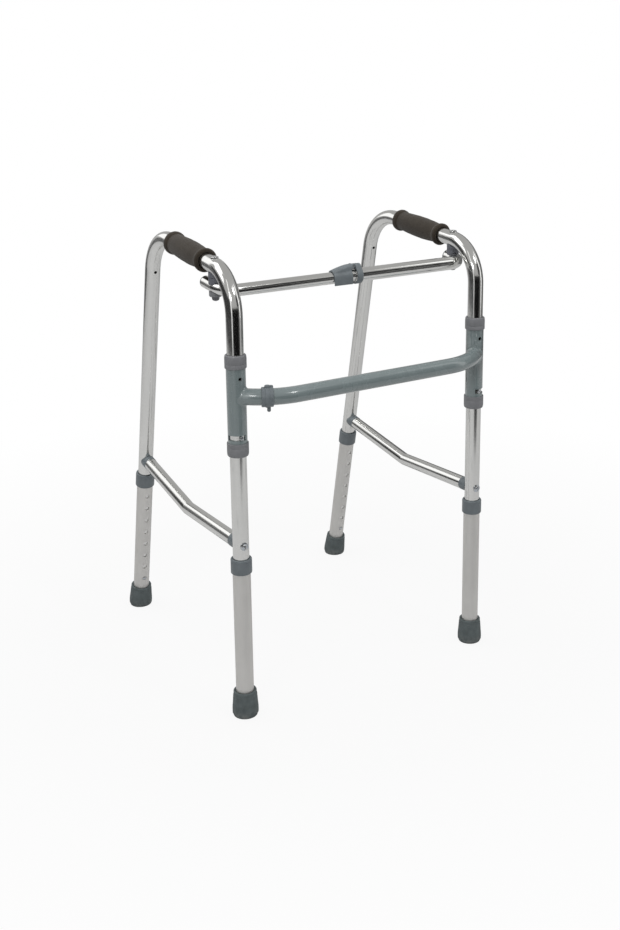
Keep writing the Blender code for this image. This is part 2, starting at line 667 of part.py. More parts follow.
def upper_pivot(side, axis):
    """Bolt through the handle and the saddle washer below it, on the side frame.

    The left bolt runs down through the bar to its nut. The right one ends in its washer,
    where the closed loop of frames and bar is opened."""
    label = SIDE_NAME[side]
    plane = pivot_plane() + SEAT / 2
    crest = handle_z(PIVOT_AT) + TUBE_R + SEAT
    washer = rod(f"{label}_pivot_upper_washer", (0, PIVOT_AT, plane),
                 (0, PIVOT_AT, handle_z(PIVOT_AT) - TUBE_R + SADDLE_WRAP), WASHER_R, axis,
                 GREY_PLASTIC)
    hole = rod(f"{label}_upper_washer_hole", (0, PIVOT_AT, plane - PAST),
               (0, PIVOT_AT, crest), BOLT_HOLE_R, axis, sides=HOLE_SIDES)
    envelope = side_envelope(f"{label}_pivot", axis)
    cut(washer, envelope, hole)
    if side < 0:
        tip = BAR_PIVOT_Z - BAR_OUTER_R - UNDER_WASHER_T - NUT_H / 2
    else:
        tip = plane + SEAT
    seat_drop = BOLT_HEAD_R * HANDLE_SLOPE + SEAT * 4
    rise = BOLT_HEAD_H + seat_drop
    dome = [(0, rise), (BOLT_HEAD_R * 0.45, rise - BOLT_HEAD_H * 0.08),
            (BOLT_HEAD_R * 0.8, rise - BOLT_HEAD_H * 0.38),
            (BOLT_HEAD_R, rise - BOLT_HEAD_H * 0.9), (BOLT_HEAD_R, 0), (0, 0)]
    bolt = turned(f"{label}_pivot_bolt", dome, axis, ZINC,
                  Matrix.Translation((0, PIVOT_AT, crest - seat_drop)))
    cut(bolt, envelope)
    join(bolt, rod(f"{label}_pivot_shank", (0, PIVOT_AT, tip), (0, PIVOT_AT, crest + SEAT),
                   BOLT_R, axis, sides=HOLE_SIDES))


def side_frame(side, axis, rear_axis):
    label = SIDE_NAME[side]
    side_tube(label, axis, rear_axis)
    hand_grip(label, axis)
    side_brace(label, axis)
    stop_screw(label, axis)
    upper_pivot(side, axis)


def foot_profile(below):
    """Rubber foot round the leg's end, flaring out and drawn in again at the base."""
    bore = LEG_R + SEAT
    top = FOOT_HEIGHT
    mouth = top - FOOT_MOUTH
    return [(0, LEG_FLOOR), (bore, LEG_FLOOR), (bore, top),
            (FOOT_TOP_R - COLLAR_CHAMFER, top), (FOOT_TOP_R, top - COLLAR_CHAMFER),
            (FOOT_TOP_R, mouth), (FOOT_TOP_R + FOOT_STEP, mouth - FOOT_STEP),
            ((FOOT_TOP_R + FOOT_STEP + FOOT_MAX_R) / 2, top * 0.50), (FOOT_MAX_R, top * 0.26),
            (FOOT_MAX_R - SEAT, top * 0.12), (FOOT_BASE_R, 0.0),
            (FOOT_BASE_R - below * 0.2, -below), (0, -below)]


def rubber_foot(name, axis, lean):
    """Foot whose sole is cut level with the floor, whatever the leg's lean."""
    below = math.sin(lean) * FOOT_MAX_R + COLLAR_CHAMFER if lean else 0.0
    profile = foot_profile(below) if lean else foot_profile(0.0)[:-2] + [(0, 0.0)]
    foot = turned(name, profile, axis, RUBBER, steps=TUBE_SIDES)
    if lean:
        size = FOOT_MAX_R * 4
        bm = bmesh.new()
        level = Matrix.Rotation(-lean, 4, "X")
        bmesh.ops.create_cube(bm, size=size, matrix=level @ Matrix.Translation((0, 0, -size / 2)))
        cut(foot, place(f"{name}_floor_cutter", mesh_from(bm, name), axis))


def height_leg(prefix, axis, collar_s, holes, facing, lean):
    """Outer leg tube with its row of holes, the guide collar on top and the rubber foot."""
    top = collar_s[1] - COLLAR_LIP
    profile = [(LEG_R, top), (LEG_R, LEG_FLOOR + SEAT), (BORE_R, LEG_FLOOR + SEAT),
               (BORE_R, top)]
    leg = turned(f"{prefix}_height_leg", profile, axis, SATIN, steps=TUBE_SIDES, closed=True)
    for index in range(holes):
        height = BUTTON_S + HOLE_PITCH * index
        cut(leg, rod(f"{prefix}_hole_{index}", (0, 0, height), (0, facing * LEG_R * 1.3, height),
                     HOLE_R, axis, sides=HOLE_SIDES))
    collar = collar_profile(collar_s[0], collar_s[1], top, LEG_COLLAR_R, LEG_R + SEAT)
    turned(f"{prefix}_leg_collar", collar, axis, GREY_PLASTIC, steps=TUBE_SIDES, closed=True)
    rubber_foot(f"{prefix}_foot", axis, lean)


def snap_button(prefix, axis, facing):
    """Domed button that stands through the leg's lowest hole, with its inner flange."""
    tip = LEG_R + BUTTON_PROUD
    flange = BUTTON_FLANGE_AT
    back = flange - BUTTON_FLANGE_T
    profile = [(0, tip), (BUTTON_R * 0.5, tip - BUTTON_PROUD * 0.2),
               (BUTTON_R * 0.87, tip - BUTTON_PROUD * 0.56), (BUTTON_R, LEG_R),
               (BUTTON_R, flange), (BUTTON_FLANGE_R, flange),
               (BUTTON_FLANGE_R, back), (0, back)]
    foot = Vector((0, 0, BUTTON_S))
    turned(f"{prefix}_snap_button", profile, axis, ZINC,
           along(foot, foot + Vector((0, facing, 0))), steps=HOLE_SIDES)


def button_spring(prefix, axis, facing):
    """Leaf bent into a hairpin: one arm behind the button, the other on the far wall."""
    near = BUTTON_FLANGE_AT - BUTTON_FLANGE_T - SEAT - SPRING_T / 2
    wall = math.sqrt((TUBE_R - TUBE_WALL - SEAT) ** 2 - (SPRING_WIDTH / 2) ** 2)
    far = -(wall - SPRING_T)
    middle = (near + far) / 2
    radius = (near - far) / 2
    outline = [(near, -SPRING_TIPS[0])]
    for i in range(9):
        angle = math.pi * i / 8
        outline.append((middle + radius * math.cos(angle),
                        SPRING_RISE - radius + radius * math.sin(angle)))
    outline.append((far, -SPRING_TIPS[1]))
    bm = bmesh.new()
    verts = [bm.verts.new((-SPRING_WIDTH / 2, facing * y, BUTTON_S + z)) for y, z in outline]
    edges = [bm.edges.new((a, b)) for a, b in zip(verts, verts[1:])]
    swept = bmesh.ops.extrude_edge_only(bm, edges=edges)["geom"]
    moved = [item for item in swept if isinstance(item, bmesh.types.BMVert)]
    bmesh.ops.translate(bm, verts=moved, vec=(SPRING_WIDTH, 0, 0))
    name = f"{prefix}_button_spring"
    leaf = place(name, mesh_from(bm, name), axis, SPRING_STEEL)
    wall_step = leaf.modifiers.new("leaf", "SOLIDIFY")
    wall_step.thickness = SPRING_T
    wall_step.offset = 0.0


def bar_pivot(side, parent, tube_r, envelope):
    """Lower saddle washer, the one below the bar, and the domed nut."""
    label = SIDE_NAME[side]
    x, y = side * PIVOT_X, PIVOT_Y
    plane = pivot_plane() - SEAT / 2
    washer = rod(f"{label}_pivot_lower_washer", (x, y, BAR_PIVOT_Z + tube_r - SADDLE_WRAP),
                 (x, y, plane), WASHER_R, parent, GREY_PLASTIC)
    floor = BAR_PIVOT_Z - BAR_OUTER_R - UNDER_WASHER_T
    under = rod(f"{label}_pivot_under_washer", (x, y, floor),
                (x, y, BAR_PIVOT_Z - tube_r + UNDER_WRAP), UNDER_WASHER_R, parent, PALE_PLASTIC)
    hole = rod(f"{label}_bar_bolt_hole", (x, y, floor - PAST), (x, y, plane + PAST), BOLT_HOLE_R,
               parent, sides=HOLE_SIDES)
    cut(washer, envelope, hole)
    cut(under, envelope, hole)
    return hole


def domed_nut(side, parent, centre):
    """Cap nut below the bar: a flange above a round cap, bored for its bolt."""
    label = SIDE_NAME[side]
    x, y = centre
    top = BAR_PIVOT_Z - BAR_OUTER_R - UNDER_WASHER_T - SEAT
    bore = BOLT_R + SEAT
    depth = NUT_H * NUT_BORE_SHARE
    cap = NUT_R * 0.84
    profile = [(0, NUT_H - depth), (bore, NUT_H - depth), (bore, NUT_H), (NUT_R, NUT_H),
               (NUT_R, NUT_H - NUT_SKIRT), (cap, NUT_H - NUT_SKIRT), (cap, NUT_H * 0.34),
               (cap * 0.82, NUT_H * 0.12), (cap * 0.45, 0.0), (0, 0.0)]
    turned(f"{label}_pivot_nut", profile, parent, ZINC, Matrix.Translation((x, y, top - NUT_H)))


def half_bar(side, parent, name, inner_x, radius, wall):
    """One half of the top bar with its end plug and the washers of its pivot."""
    label = SIDE_NAME[side]
    path = bar_path(side, inner_x)
    tube = pipe(name, path, radius, parent, POLISHED, sides=BAR_SIDES)
    envelope = pipe(f"{name}_envelope", path, radius + SEAT, parent, sides=BAR_SIDES)
    cut(tube, pipe(f"{name}_bore", stretched(path, PAST), radius - wall, parent,
                   sides=BAR_SIDES))
    cut(tube, bar_pivot(side, parent, radius, envelope))
    spigot_r = radius - wall - SEAT
    far = BAR_PLUG_SPIGOT
    profile = [(0, SEAT + BAR_PLUG_T), (radius - COLLAR_CHAMFER, SEAT + BAR_PLUG_T),
               (radius, SEAT + BAR_PLUG_T - COLLAR_CHAMFER), (radius, SEAT), (spigot_r, SEAT),
               (spigot_r, -far), (0, -far)]
    turned(f"{label}_bar_end_plug", profile, parent, GREY_PLASTIC,
           along(path[-1], path[-1] * 2 - path[-2]))


def latch_collar(parent):
    """Moulded collar on the outer tube's mouth; its lobe and tongue carry the pin."""
    start, end = LATCH_COLLAR_X
    inner = BAR_OUTER_R + SEAT
    outer = BAR_OUTER_R + LATCH_WALL
    edge = LATCH_SHELL / 2
    foot = Vector((start, BAR_Y, BAR_Z))
    width = end - start
    profile = [(outer - edge, width), (outer, width - edge), (outer, edge), (outer - edge, 0),
               (inner, 0), (inner, width)]
    collar = turned("latch_collar", profile, parent, GREY_PLASTIC,
                    along(foot, foot + Vector((1, 0, 0))), steps=TUBE_SIDES, closed=True)
    half = LATCH_TONGUE / 2
    lobe_z = BAR_Z + LATCH_LOBE_RISE
    low, high = BAR_Z + inner + SEAT, LATCH_PIN_Z + LATCH_CHEEK_R
    reach = (start + end) / 2
    join(collar,
         rod("latch_lobe", (start, BAR_Y, lobe_z), (end, BAR_Y, lobe_z), LATCH_LOBE_R, parent),
         block("latch_tongue", ((LATCH_PIN_X + reach) / 2, BAR_Y, (low + high) / 2),
               (reach - LATCH_PIN_X, LATCH_TONGUE, high - low), parent),
         rod("latch_tongue_eye", (LATCH_PIN_X, BAR_Y - half, LATCH_PIN_Z),
             (LATCH_PIN_X, BAR_Y + half, LATCH_PIN_Z), LATCH_CHEEK_R, parent))
    cut(collar,
        rod("latch_collar_bore", (start - PAST, BAR_Y, BAR_Z), (end + PAST, BAR_Y, BAR_Z), inner,
            parent, sides=TUBE_SIDES),
        latch_pin_hole("latch_collar_pin_hole", parent))


def latch_pin_hole(name, parent):
    return rod(name, (LATCH_PIN_X, BAR_Y - LATCH_WIDTH, LATCH_PIN_Z),
               (LATCH_PIN_X, BAR_Y + LATCH_WIDTH, LATCH_PIN_Z), LATCH_PIN_R + SEAT, parent,
               sides=HOLE_SIDES)


def latch_section(share):
    """Upside-down U that fits over the inner tube, as (y, z) about the bar's axis. Its back
    rises from the tip, share 0, to the heel, share 1."""
    rise = share * share * (3 - 2 * share)
    half = LATCH_TIP_SIZE[0] + (LATCH_HEEL_SIZE[0] - LATCH_TIP_SIZE[0]) * share
    top = LATCH_TIP_SIZE[1] + (LATCH_HEEL_SIZE[1] - LATCH_TIP_SIZE[1]) * rise
    inner = BAR_INNER_R + SEAT
    roof = max(inner, top - LATCH_SHELL)
    angles = [math.pi * i / 12 for i in range(13)]
    outside = [(-half * math.cos(a), half * math.sin(a) + (top - half) * math.sin(a) ** 2)
               for a in angles]
    inside = [(inner * math.cos(a), inner * math.sin(a) + (roof - inner) * math.sin(a) ** 2)
              for a in angles]
    return [(-half, -LATCH_SKIRT), *outside, (half, -LATCH_SKIRT), (inner, -LATCH_SKIRT),
            *inside, (-inner, -LATCH_SKIRT)]


def lofted(name, sections, parent, material):
    """Closed solid through sections, each an x and a ring of (y, z) points."""
    bm = bmesh.new()
    rings = [[bm.verts.new((x, y, z)) for y, z in section] for x, section in sections]
    for before, after in zip(rings, rings[1:]):
        for i in range(len(before)):
            bm.faces.new((before[i - 1], before[i], after[i], after[i - 1]))
    for ring in (rings[0], rings[-1]):
        bm.faces.new(ring)
    bmesh.ops.triangulate(bm, faces=bm.faces)
    bmesh.ops.recalc_face_normals(bm, faces=bm.faces)
    mesh = mesh_from(bm, name)
    smooth(mesh)
    return place(name, mesh, parent, material)


def latch_lever(parent):
    """Hollow lever that wraps the inner tube and swells up to two cheeks on the pin."""
    sections = []
    for i in range(8):
        x = LATCH_TIP_X + (LATCH_PIN_X - LATCH_TIP_X) * i / 7
        share = min(1.0, (x - LATCH_TIP_X) / (LATCH_HEEL_X - LATCH_TIP_X))
        sections.append((x, [(BAR_Y + y, BAR_Z + z) for y, z in latch_section(share)]))
    lever = lofted("latch_lever", sections, parent, GREY_PLASTIC)
    half = LATCH_WIDTH / 2
    under = LATCH_PIN_Z - LATCH_CHEEK_R - SEAT * 2
    cut(lever, block("latch_heel_cut", (LATCH_HEEL_X + PAST, BAR_Y, under - PAST * 2),
                     (PAST * 2, PAST * 4, PAST * 4), parent))
    join(lever, rod("latch_cheeks", (LATCH_PIN_X, BAR_Y - half, LATCH_PIN_Z),
                    (LATCH_PIN_X, BAR_Y + half, LATCH_PIN_Z), LATCH_CHEEK_R, parent))
    slot_end = LATCH_PIN_X - LATCH_CHEEK_R - SEAT
    cut(lever,
        block("latch_tongue_slot", (slot_end + PAST, BAR_Y, LATCH_PIN_Z),
              (PAST * 2, LATCH_TONGUE + SEAT * 2, PAST), parent),
        latch_pin_hole("latch_lever_pin_hole", parent))


def latch_pin(parent):
    half = LATCH_WIDTH / 2 + SEAT
    rod("latch_hinge_pin", (LATCH_PIN_X, BAR_Y - half, LATCH_PIN_Z),
        (LATCH_PIN_X, BAR_Y + half, LATCH_PIN_Z), LATCH_PIN_R, parent, ZINC, sides=HOLE_SIDES)


def centre_on_floor(origin):
    """Move the whole walker so that the middle of its footprint is the origin."""
    bpy.context.view_layer.update()
    depsgraph = bpy.context.evaluated_depsgraph_get()
    low, high = math.inf, -math.inf
    for obj in PARTS.objects:
        if obj.type != "MESH":
            continue
        evaluated = obj.evaluated_get(depsgraph)
        for vertex in evaluated.data.vertices:
            y = (evaluated.matrix_world @ vertex.co).y
            low, high = min(low, y), max(high, y)
    origin.location.y -= (low + high) / 2


def build():
    origin = empty("walker_origin")
    axes, rear_axes = {}, {}
    for side, label in SIDE_NAME.items():
        axes[side] = empty(f"{label}_fold_axis", origin, (side * HALF_SPACING, 0, 0),
                           (0, 0, side * TOE_IN))
        rear_axes[side] = empty(f"{label}_rear_leg_axis", axes[side], (0, REAR_FOOT, 0),
                                (LEAN, 0, 0))
    h_brace(origin, axes)
    crossbar_clip(origin)
    for side, label in SIDE_NAME.items():
        axis, rear_axis = axes[side], rear_axes[side]
        sleeve_collars(label, axis)
        side_frame(side, axis, rear_axis)
        for prefix, leg_axis, collar_s, holes, facing, lean in (
                (f"{label}_front", axis, FRONT_COLLAR_S, HOLE_COUNT_FRONT, 1, 0.0),
                (f"{label}_rear", rear_axis, REAR_COLLAR_S, HOLE_COUNT_REAR, -1, LEAN)):
            height_leg(prefix, leg_axis, collar_s, holes, facing, lean)
            snap_button(prefix, leg_axis, facing)
            button_spring(prefix, leg_axis, facing)
    left_pivot = bar_axis("left_bar_pivot", origin, (-PIVOT_X, PIVOT_Y, BAR_Z))
    right_slide = bar_axis("right_bar_slide", origin, (PIVOT_X, BAR_Y, BAR_Z))
    latch_axis = bar_axis("latch_axis", origin, (LATCH_PIN_X, BAR_Y, LATCH_PIN_Z))
    half_bar(-1, left_pivot, "left_half_bar", BAR_INNER_END_X, BAR_INNER_R, BAR_INNER_WALL)
    half_bar(1, right_slide, "right_half_bar", BAR_MOUTH_X, BAR_OUTER_R, BAR_OUTER_WALL)
    domed_nut(-1, axes[-1], (0, PIVOT_AT))
    domed_nut(1, right_slide, (PIVOT_X, PIVOT_Y))
    latch_collar(right_slide)
    latch_pin(right_slide)
    latch_lever(latch_axis)
    centre_on_floor(origin)


build()
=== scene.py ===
"""Looks of the folding walker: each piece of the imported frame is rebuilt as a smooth, finished
mesh that rides on the same body, and stands in a plain pale studio. Metres, +Z up."""

import json
import logging
import math
from dataclasses import dataclass
from enum import Enum
from typing import Callable, Iterable, Sequence

import bmesh
import bpy
import numpy as np
from mathutils import Matrix, Vector, noise

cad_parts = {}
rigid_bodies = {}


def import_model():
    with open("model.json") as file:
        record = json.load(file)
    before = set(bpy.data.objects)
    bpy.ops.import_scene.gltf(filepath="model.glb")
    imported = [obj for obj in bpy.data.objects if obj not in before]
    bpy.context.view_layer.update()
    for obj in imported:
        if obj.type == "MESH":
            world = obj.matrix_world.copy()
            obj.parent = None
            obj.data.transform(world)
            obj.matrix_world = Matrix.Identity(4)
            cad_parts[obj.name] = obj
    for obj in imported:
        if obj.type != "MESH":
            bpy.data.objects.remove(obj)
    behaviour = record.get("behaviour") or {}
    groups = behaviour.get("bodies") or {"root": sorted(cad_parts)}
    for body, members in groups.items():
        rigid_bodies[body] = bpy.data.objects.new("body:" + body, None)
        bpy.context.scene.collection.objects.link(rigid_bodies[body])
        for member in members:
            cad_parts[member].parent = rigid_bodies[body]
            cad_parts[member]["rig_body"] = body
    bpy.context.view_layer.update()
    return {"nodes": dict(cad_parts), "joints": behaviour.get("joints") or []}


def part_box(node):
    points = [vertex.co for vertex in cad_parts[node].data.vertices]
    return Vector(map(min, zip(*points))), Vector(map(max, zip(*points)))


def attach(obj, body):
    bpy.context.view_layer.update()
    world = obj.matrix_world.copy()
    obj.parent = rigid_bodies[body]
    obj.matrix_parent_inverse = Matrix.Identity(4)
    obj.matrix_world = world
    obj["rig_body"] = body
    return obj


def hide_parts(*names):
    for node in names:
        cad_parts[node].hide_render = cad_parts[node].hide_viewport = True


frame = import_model()
LOG = logging.getLogger("walker")

Colour = tuple[float, float, float]
Span = tuple[float, float]
Outline = Sequence[tuple[float, ...]]

SEAT = 0.0003            # gap where one piece rests on another
SLIP = 0.0003            # radial gap of a tube that slides or turns in another
DRILL = 0.020            # how far a drill goes on through a tube
OVER = 0.01              # how far a bore goes on past the piece's ends
CRISP = 0.0003           # roundings of an edge, from a turned one to a moulded one
EDGE = 0.0004
EASED = 0.0006
ROUND = 0.0012
WITNESS = 0.0004         # half width of the witness line on a moulded collar
MERGE = 1e-6             # points closer than this are one
RUN_END = 0.02           # share of a run near its ends where no points are added
TUBE_SIDES = 64
SLEEVE_SIDES = 72
SMALL_SIDES = 40
SHARP = math.radians(32.0)
CLOUDS = (0.3, 0.7)      # where nearly all of a cloudy noise lies
WHOLE = (0.0, 1.0)


class Side(Enum):
    """Left and right as the user of the walker sees them; the value is the sign of x."""

    LEFT = -1
    RIGHT = 1

    @property
    def label(self) -> str:
        """The side's name in the names of its pieces."""
        return self.name.lower()


class Pattern(Enum):
    """What a finish's grain follows: the piece's place, or the run of its tube."""

    PLACE = "place"
    RUN = "run"


@dataclass(frozen=True)
class Cloud:
    """A cloudy noise: its scale, detail and roughness, and how it is drawn out along Z."""

    scale: float
    detail: float
    rough: float = 0.5
    stretch: float = 1.0
    pattern: Pattern = Pattern.PLACE


def joint_place(name: str) -> Vector:
    """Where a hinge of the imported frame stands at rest."""
    return next(Vector(joint["pos_m"]) for joint in frame["joints"] if joint["name"] == name)


def tone(code: str) -> Colour:
    """Linear colour of a paint chip written as six hex digits."""
    shares = [int(code[at:at + 2], 16) / 255.0 for at in (0, 2, 4)]
    return tuple(s / 12.92 if s <= 0.04045 else ((s + 0.055) / 1.055) ** 2.4 for s in shares)


class Graph:
    """The nodes of one material, with short calls for the few kinds that the finishes use."""

    def __init__(self, name: str) -> None:
        """Start a material.

        Args:
            name: the material's name.
        """
        self.material = bpy.data.materials.new(name)
        self.material.use_nodes = True
        self.nodes = self.material.node_tree.nodes
        self.links = self.material.node_tree.links
        self.shader = self.nodes["Principled BSDF"]

    def feed(self, socket: bpy.types.NodeSocket, value: object) -> None:
        """Set an input, or link it.

        Args:
            socket: the input.
            value: a number, a vector, a colour of three shares, or another node's output.
        """
        if isinstance(value, bpy.types.NodeSocket):
            self.links.new(value, socket)
        elif socket.type == "RGBA":
            socket.default_value = (*value, 1.0)
        else:
            socket.default_value = value

    def put(self, socket: str, value: object) -> None:
        """Feed one of the shader's own sockets."""
        self.feed(self.shader.inputs[socket], value)

    def add(self, kind: str, settings: dict[str, object] | None = None,
            **inputs: object) -> bpy.types.Node:
        """Add a node.

        Args:
            kind: the node's type without its ShaderNode prefix.
            settings: properties of the node itself.
            inputs: values or sockets by input name, with underscores for spaces.

        Returns:
            The node.
        """
        node = self.nodes.new(f"ShaderNode{kind}")
        for key, value in (settings or {}).items():
            setattr(node, key, value)
        for key, value in inputs.items():
            self.feed(node.inputs[key.replace("_", " ")], value)
        return node

    def place(self, pattern: Pattern = Pattern.PLACE,
              stretch: float = 1.0) -> bpy.types.NodeSocket:
        """Coordinates that a pattern reads.

        Args:
            pattern: what the pattern follows.
            stretch: scale along Z; below 1 it draws the pattern out that way.

        Returns:
            The coordinates.
        """
        if pattern is Pattern.RUN:
            source = self.add("Attribute", {"attribute_name": Pattern.RUN.value}).outputs["Vector"]
        else:
            source = self.add("TexCoord").outputs["Object"]
        return self.add("Mapping", Vector=source,
                        Scale=(1.0, 1.0, stretch)).outputs["Vector"]

    def noise(self, cloud: Cloud) -> bpy.types.NodeSocket:
        """Cloudy noise between 0 and 1.

        Args:
            cloud: its scale and form.

        Returns:
            The noise.
        """
        return self.add("TexNoise", Vector=self.place(cloud.pattern, cloud.stretch),
                        Scale=cloud.scale, Detail=cloud.detail,
                        Roughness=cloud.rough).outputs["Fac"]

    def remap(self, value: bpy.types.NodeSocket, source: Span,
              target: Span) -> bpy.types.NodeSocket:
        """Value moved from one range to another, and kept inside it."""
        return self.add("MapRange", Value=value, From_Min=source[0], From_Max=source[1],
                        To_Min=target[0], To_Max=target[1]).outputs["Result"]

    def times(self, first: object, second: object) -> bpy.types.NodeSocket:
        """Product of two values.

        Args:
            first: a number or a socket.
            second: the other.

        Returns:
            Their product.
        """
        node = self.add("Math", {"operation": "MULTIPLY"})
        for socket, value in zip(node.inputs, (first, second)):
            self.feed(socket, value)
        return node.outputs[0]

    def blend(self, share: bpy.types.NodeSocket, low: object,
              high: object) -> bpy.types.NodeSocket:
        """Colour between two others.

        Args:
            share: how far it is from the first to the second.
            low: the first colour or socket.
            high: the second.

        Returns:
            The colour.
        """
        mix = self.add("Mix", {"data_type": "RGBA"})
        for index, value in ((0, share), (6, low), (7, high)):
            self.feed(mix.inputs[index], value)
        return mix.outputs[2]

    def drift(self, noise_value: bpy.types.NodeSocket, colour: Colour,
              tones: Span) -> bpy.types.NodeSocket:
        """Colour that drifts with a cloudy noise.

        Args:
            noise_value: the noise.
            colour: the colour about which it drifts.
            tones: factors of its darkest tone and its lightest.

        Returns:
            The colour.
        """
        dark, light = (shaded(colour, factor) for factor in tones)
        return self.blend(self.remap(noise_value, CLOUDS, WHOLE), dark, light)

    def marked(self, colour: object, noise_value: bpy.types.NodeSocket, reach: Span,
               mark: Colour, strength: float = 1.0) -> bpy.types.NodeSocket:
        """Colour with marks on it where a noise is strong.

        Args:
            colour: the colour or socket below the marks.
            noise_value: the noise.
            reach: where in the noise the marks start, and where they are full.
            mark: their colour.
            strength: share of it in a full mark.

        Returns:
            The colour.
        """
        return self.blend(self.remap(noise_value, reach, (0.0, strength)), colour, mark)

    def gloss(self, noise_value: bpy.types.NodeSocket, roughness: float, drift: Span) -> None:
        """Let the shader's roughness drift with a cloudy noise.

        Args:
            noise_value: the noise.
            roughness: the roughness about which it drifts.
            drift: how far it drops and how far it rises.
        """
        less, more = drift
        self.put("Roughness", self.remap(noise_value, CLOUDS,
                                         (roughness - less, roughness + more)))

    def bump(self, height: bpy.types.NodeSocket, depth: float,
             under: bpy.types.NodeSocket | None = None) -> bpy.types.NodeSocket:
        """Normal pushed by a height.

        Args:
            height: the height, 0 to 1.
            depth: metres from low to high.
            under: a coarser bump that this one lies on.

        Returns:
            The normal.
        """
        node = self.add("Bump", Height=height, Distance=depth, Strength=1.0)
        if under is not None:
            self.feed(node.inputs["Normal"], under)
        return node.outputs["Normal"]


def shaded(colour: Colour, factor: float) -> Colour:
    """A colour made lighter or darker by a factor."""
    return tuple(min(1.0, channel * factor) for channel in colour)


@dataclass(frozen=True)
class Finish:
    """A surface of the walker. Each kind fills in its own nodes in dress()."""

    name: str
    slot: str
    colour: Colour
    roughness: float

    def dress(self, graph: Graph) -> None:
        """Fill the material's nodes."""
        raise NotImplementedError

    def material(self) -> bpy.types.Material:
        """The finish's material, made once.

        Returns:
            The material.
        """
        found = bpy.data.materials.get(self.name)
        if found is not None:
            return found
        graph = Graph(self.name)
        self.dress(graph)
        return graph.material


@dataclass(frozen=True)
class DrawnMetal(Finish):
    """Aluminium tube with faint drawing lines along its run and a soft drift in its gloss."""

    lines: Cloud = Cloud(420.0, 2.0, stretch=0.012, pattern=Pattern.RUN)
    line_depth: float = 0.0000035
    haze: Cloud = Cloud(26.0, 4.0, stretch=0.35, pattern=Pattern.RUN)
    haze_reach: Span = (0.25, 0.75)
    haze_rise: float = 0.10
    tones: Span = (0.94, 1.03)
    scuffs: Cloud = Cloud(190.0, 5.0, 0.65, 0.12, Pattern.RUN)
    scuff_reach: Span = (0.60, 0.72)
    scuff_tone: float = 0.88

    def dress(self, graph: Graph) -> None:
        """Drawing lines, haze and handling marks.

        Args:
            graph: the nodes of the finish's material.
        """
        haze = graph.noise(self.haze)
        graph.put("Base Color", graph.marked(graph.drift(haze, self.colour, self.tones),
                                             graph.noise(self.scuffs), self.scuff_reach,
                                             shaded(self.colour, self.scuff_tone)))
        graph.put("Metallic", 1.0)
        graph.put("Roughness", graph.remap(haze, self.haze_reach,
                                           (self.roughness, self.roughness + self.haze_rise)))
        graph.put("Normal", graph.bump(graph.noise(self.lines), self.line_depth))


@dataclass(frozen=True)
class SatinMetal(Finish):
    """Anodised leg tube: an even, matt grey with fine upright lines and light sliding marks."""

    lines: Cloud = Cloud(520.0, 3.0, 0.6, 0.02, Pattern.RUN)
    line_depth: float = 0.000006
    line_gloss: Span = (0.05, 0.06)
    haze: Cloud = Cloud(34.0, 4.0, stretch=0.4, pattern=Pattern.RUN)
    tones: Span = (0.93, 1.04)
    rubs: Cloud = Cloud(150.0, 4.0, 0.7, 0.03, Pattern.RUN)
    rub_reach: Span = (0.62, 0.74)
    rub_tone: float = 0.80
    metal: float = 0.85

    def dress(self, graph: Graph) -> None:
        """Even haze, upright lines, and a few rubbed streaks.

        Args:
            graph: the nodes of the finish's material.
        """
        lines = graph.noise(self.lines)
        colour = graph.drift(graph.noise(self.haze), self.colour, self.tones)
        graph.put("Base Color", graph.marked(colour, graph.noise(self.rubs), self.rub_reach,
                                             shaded(self.colour, self.rub_tone)))
        graph.put("Metallic", self.metal)
        graph.gloss(lines, self.roughness, self.line_gloss)
        graph.put("Normal", graph.bump(lines, self.line_depth))


@dataclass(frozen=True)
class GlossPaint(Finish):
    """Stove paint over steel, with a little orange peel, pale rubs and a clear gloss."""

    peel: Cloud = Cloud(620.0, 2.0)
    peel_depth: float = 0.000012
    mottle: Cloud = Cloud(46.0, 4.0)
    mottle_gloss: Span = (0.04, 0.05)
    tones: Span = (0.96, 1.04)
    rubs: Cloud = Cloud(240.0, 6.0, 0.7, 0.35)
    rub_reach: Span = (0.72, 0.80)
    rub_strength: float = 0.35
    rub_colour: Colour = (0.30, 0.32, 0.31)
    shine: float = 0.6
    coat_roughness: float = 0.07

    def dress(self, graph: Graph) -> None:
        """Orange peel, mottle and a few pale rubs.

        Args:
            graph: the nodes of the finish's material.
        """
        mottle = graph.noise(self.mottle)
        graph.put("Base Color", graph.marked(graph.drift(mottle, self.colour, self.tones),
                                             graph.noise(self.rubs), self.rub_reach,
                                             self.rub_colour, self.rub_strength))
        graph.gloss(mottle, self.roughness, self.mottle_gloss)
        graph.put("Specular IOR Level", self.shine)
        graph.put("Coat Weight", 1.0)
        graph.put("Coat Roughness", self.coat_roughness)
        graph.put("Normal", graph.bump(graph.noise(self.peel), self.peel_depth))


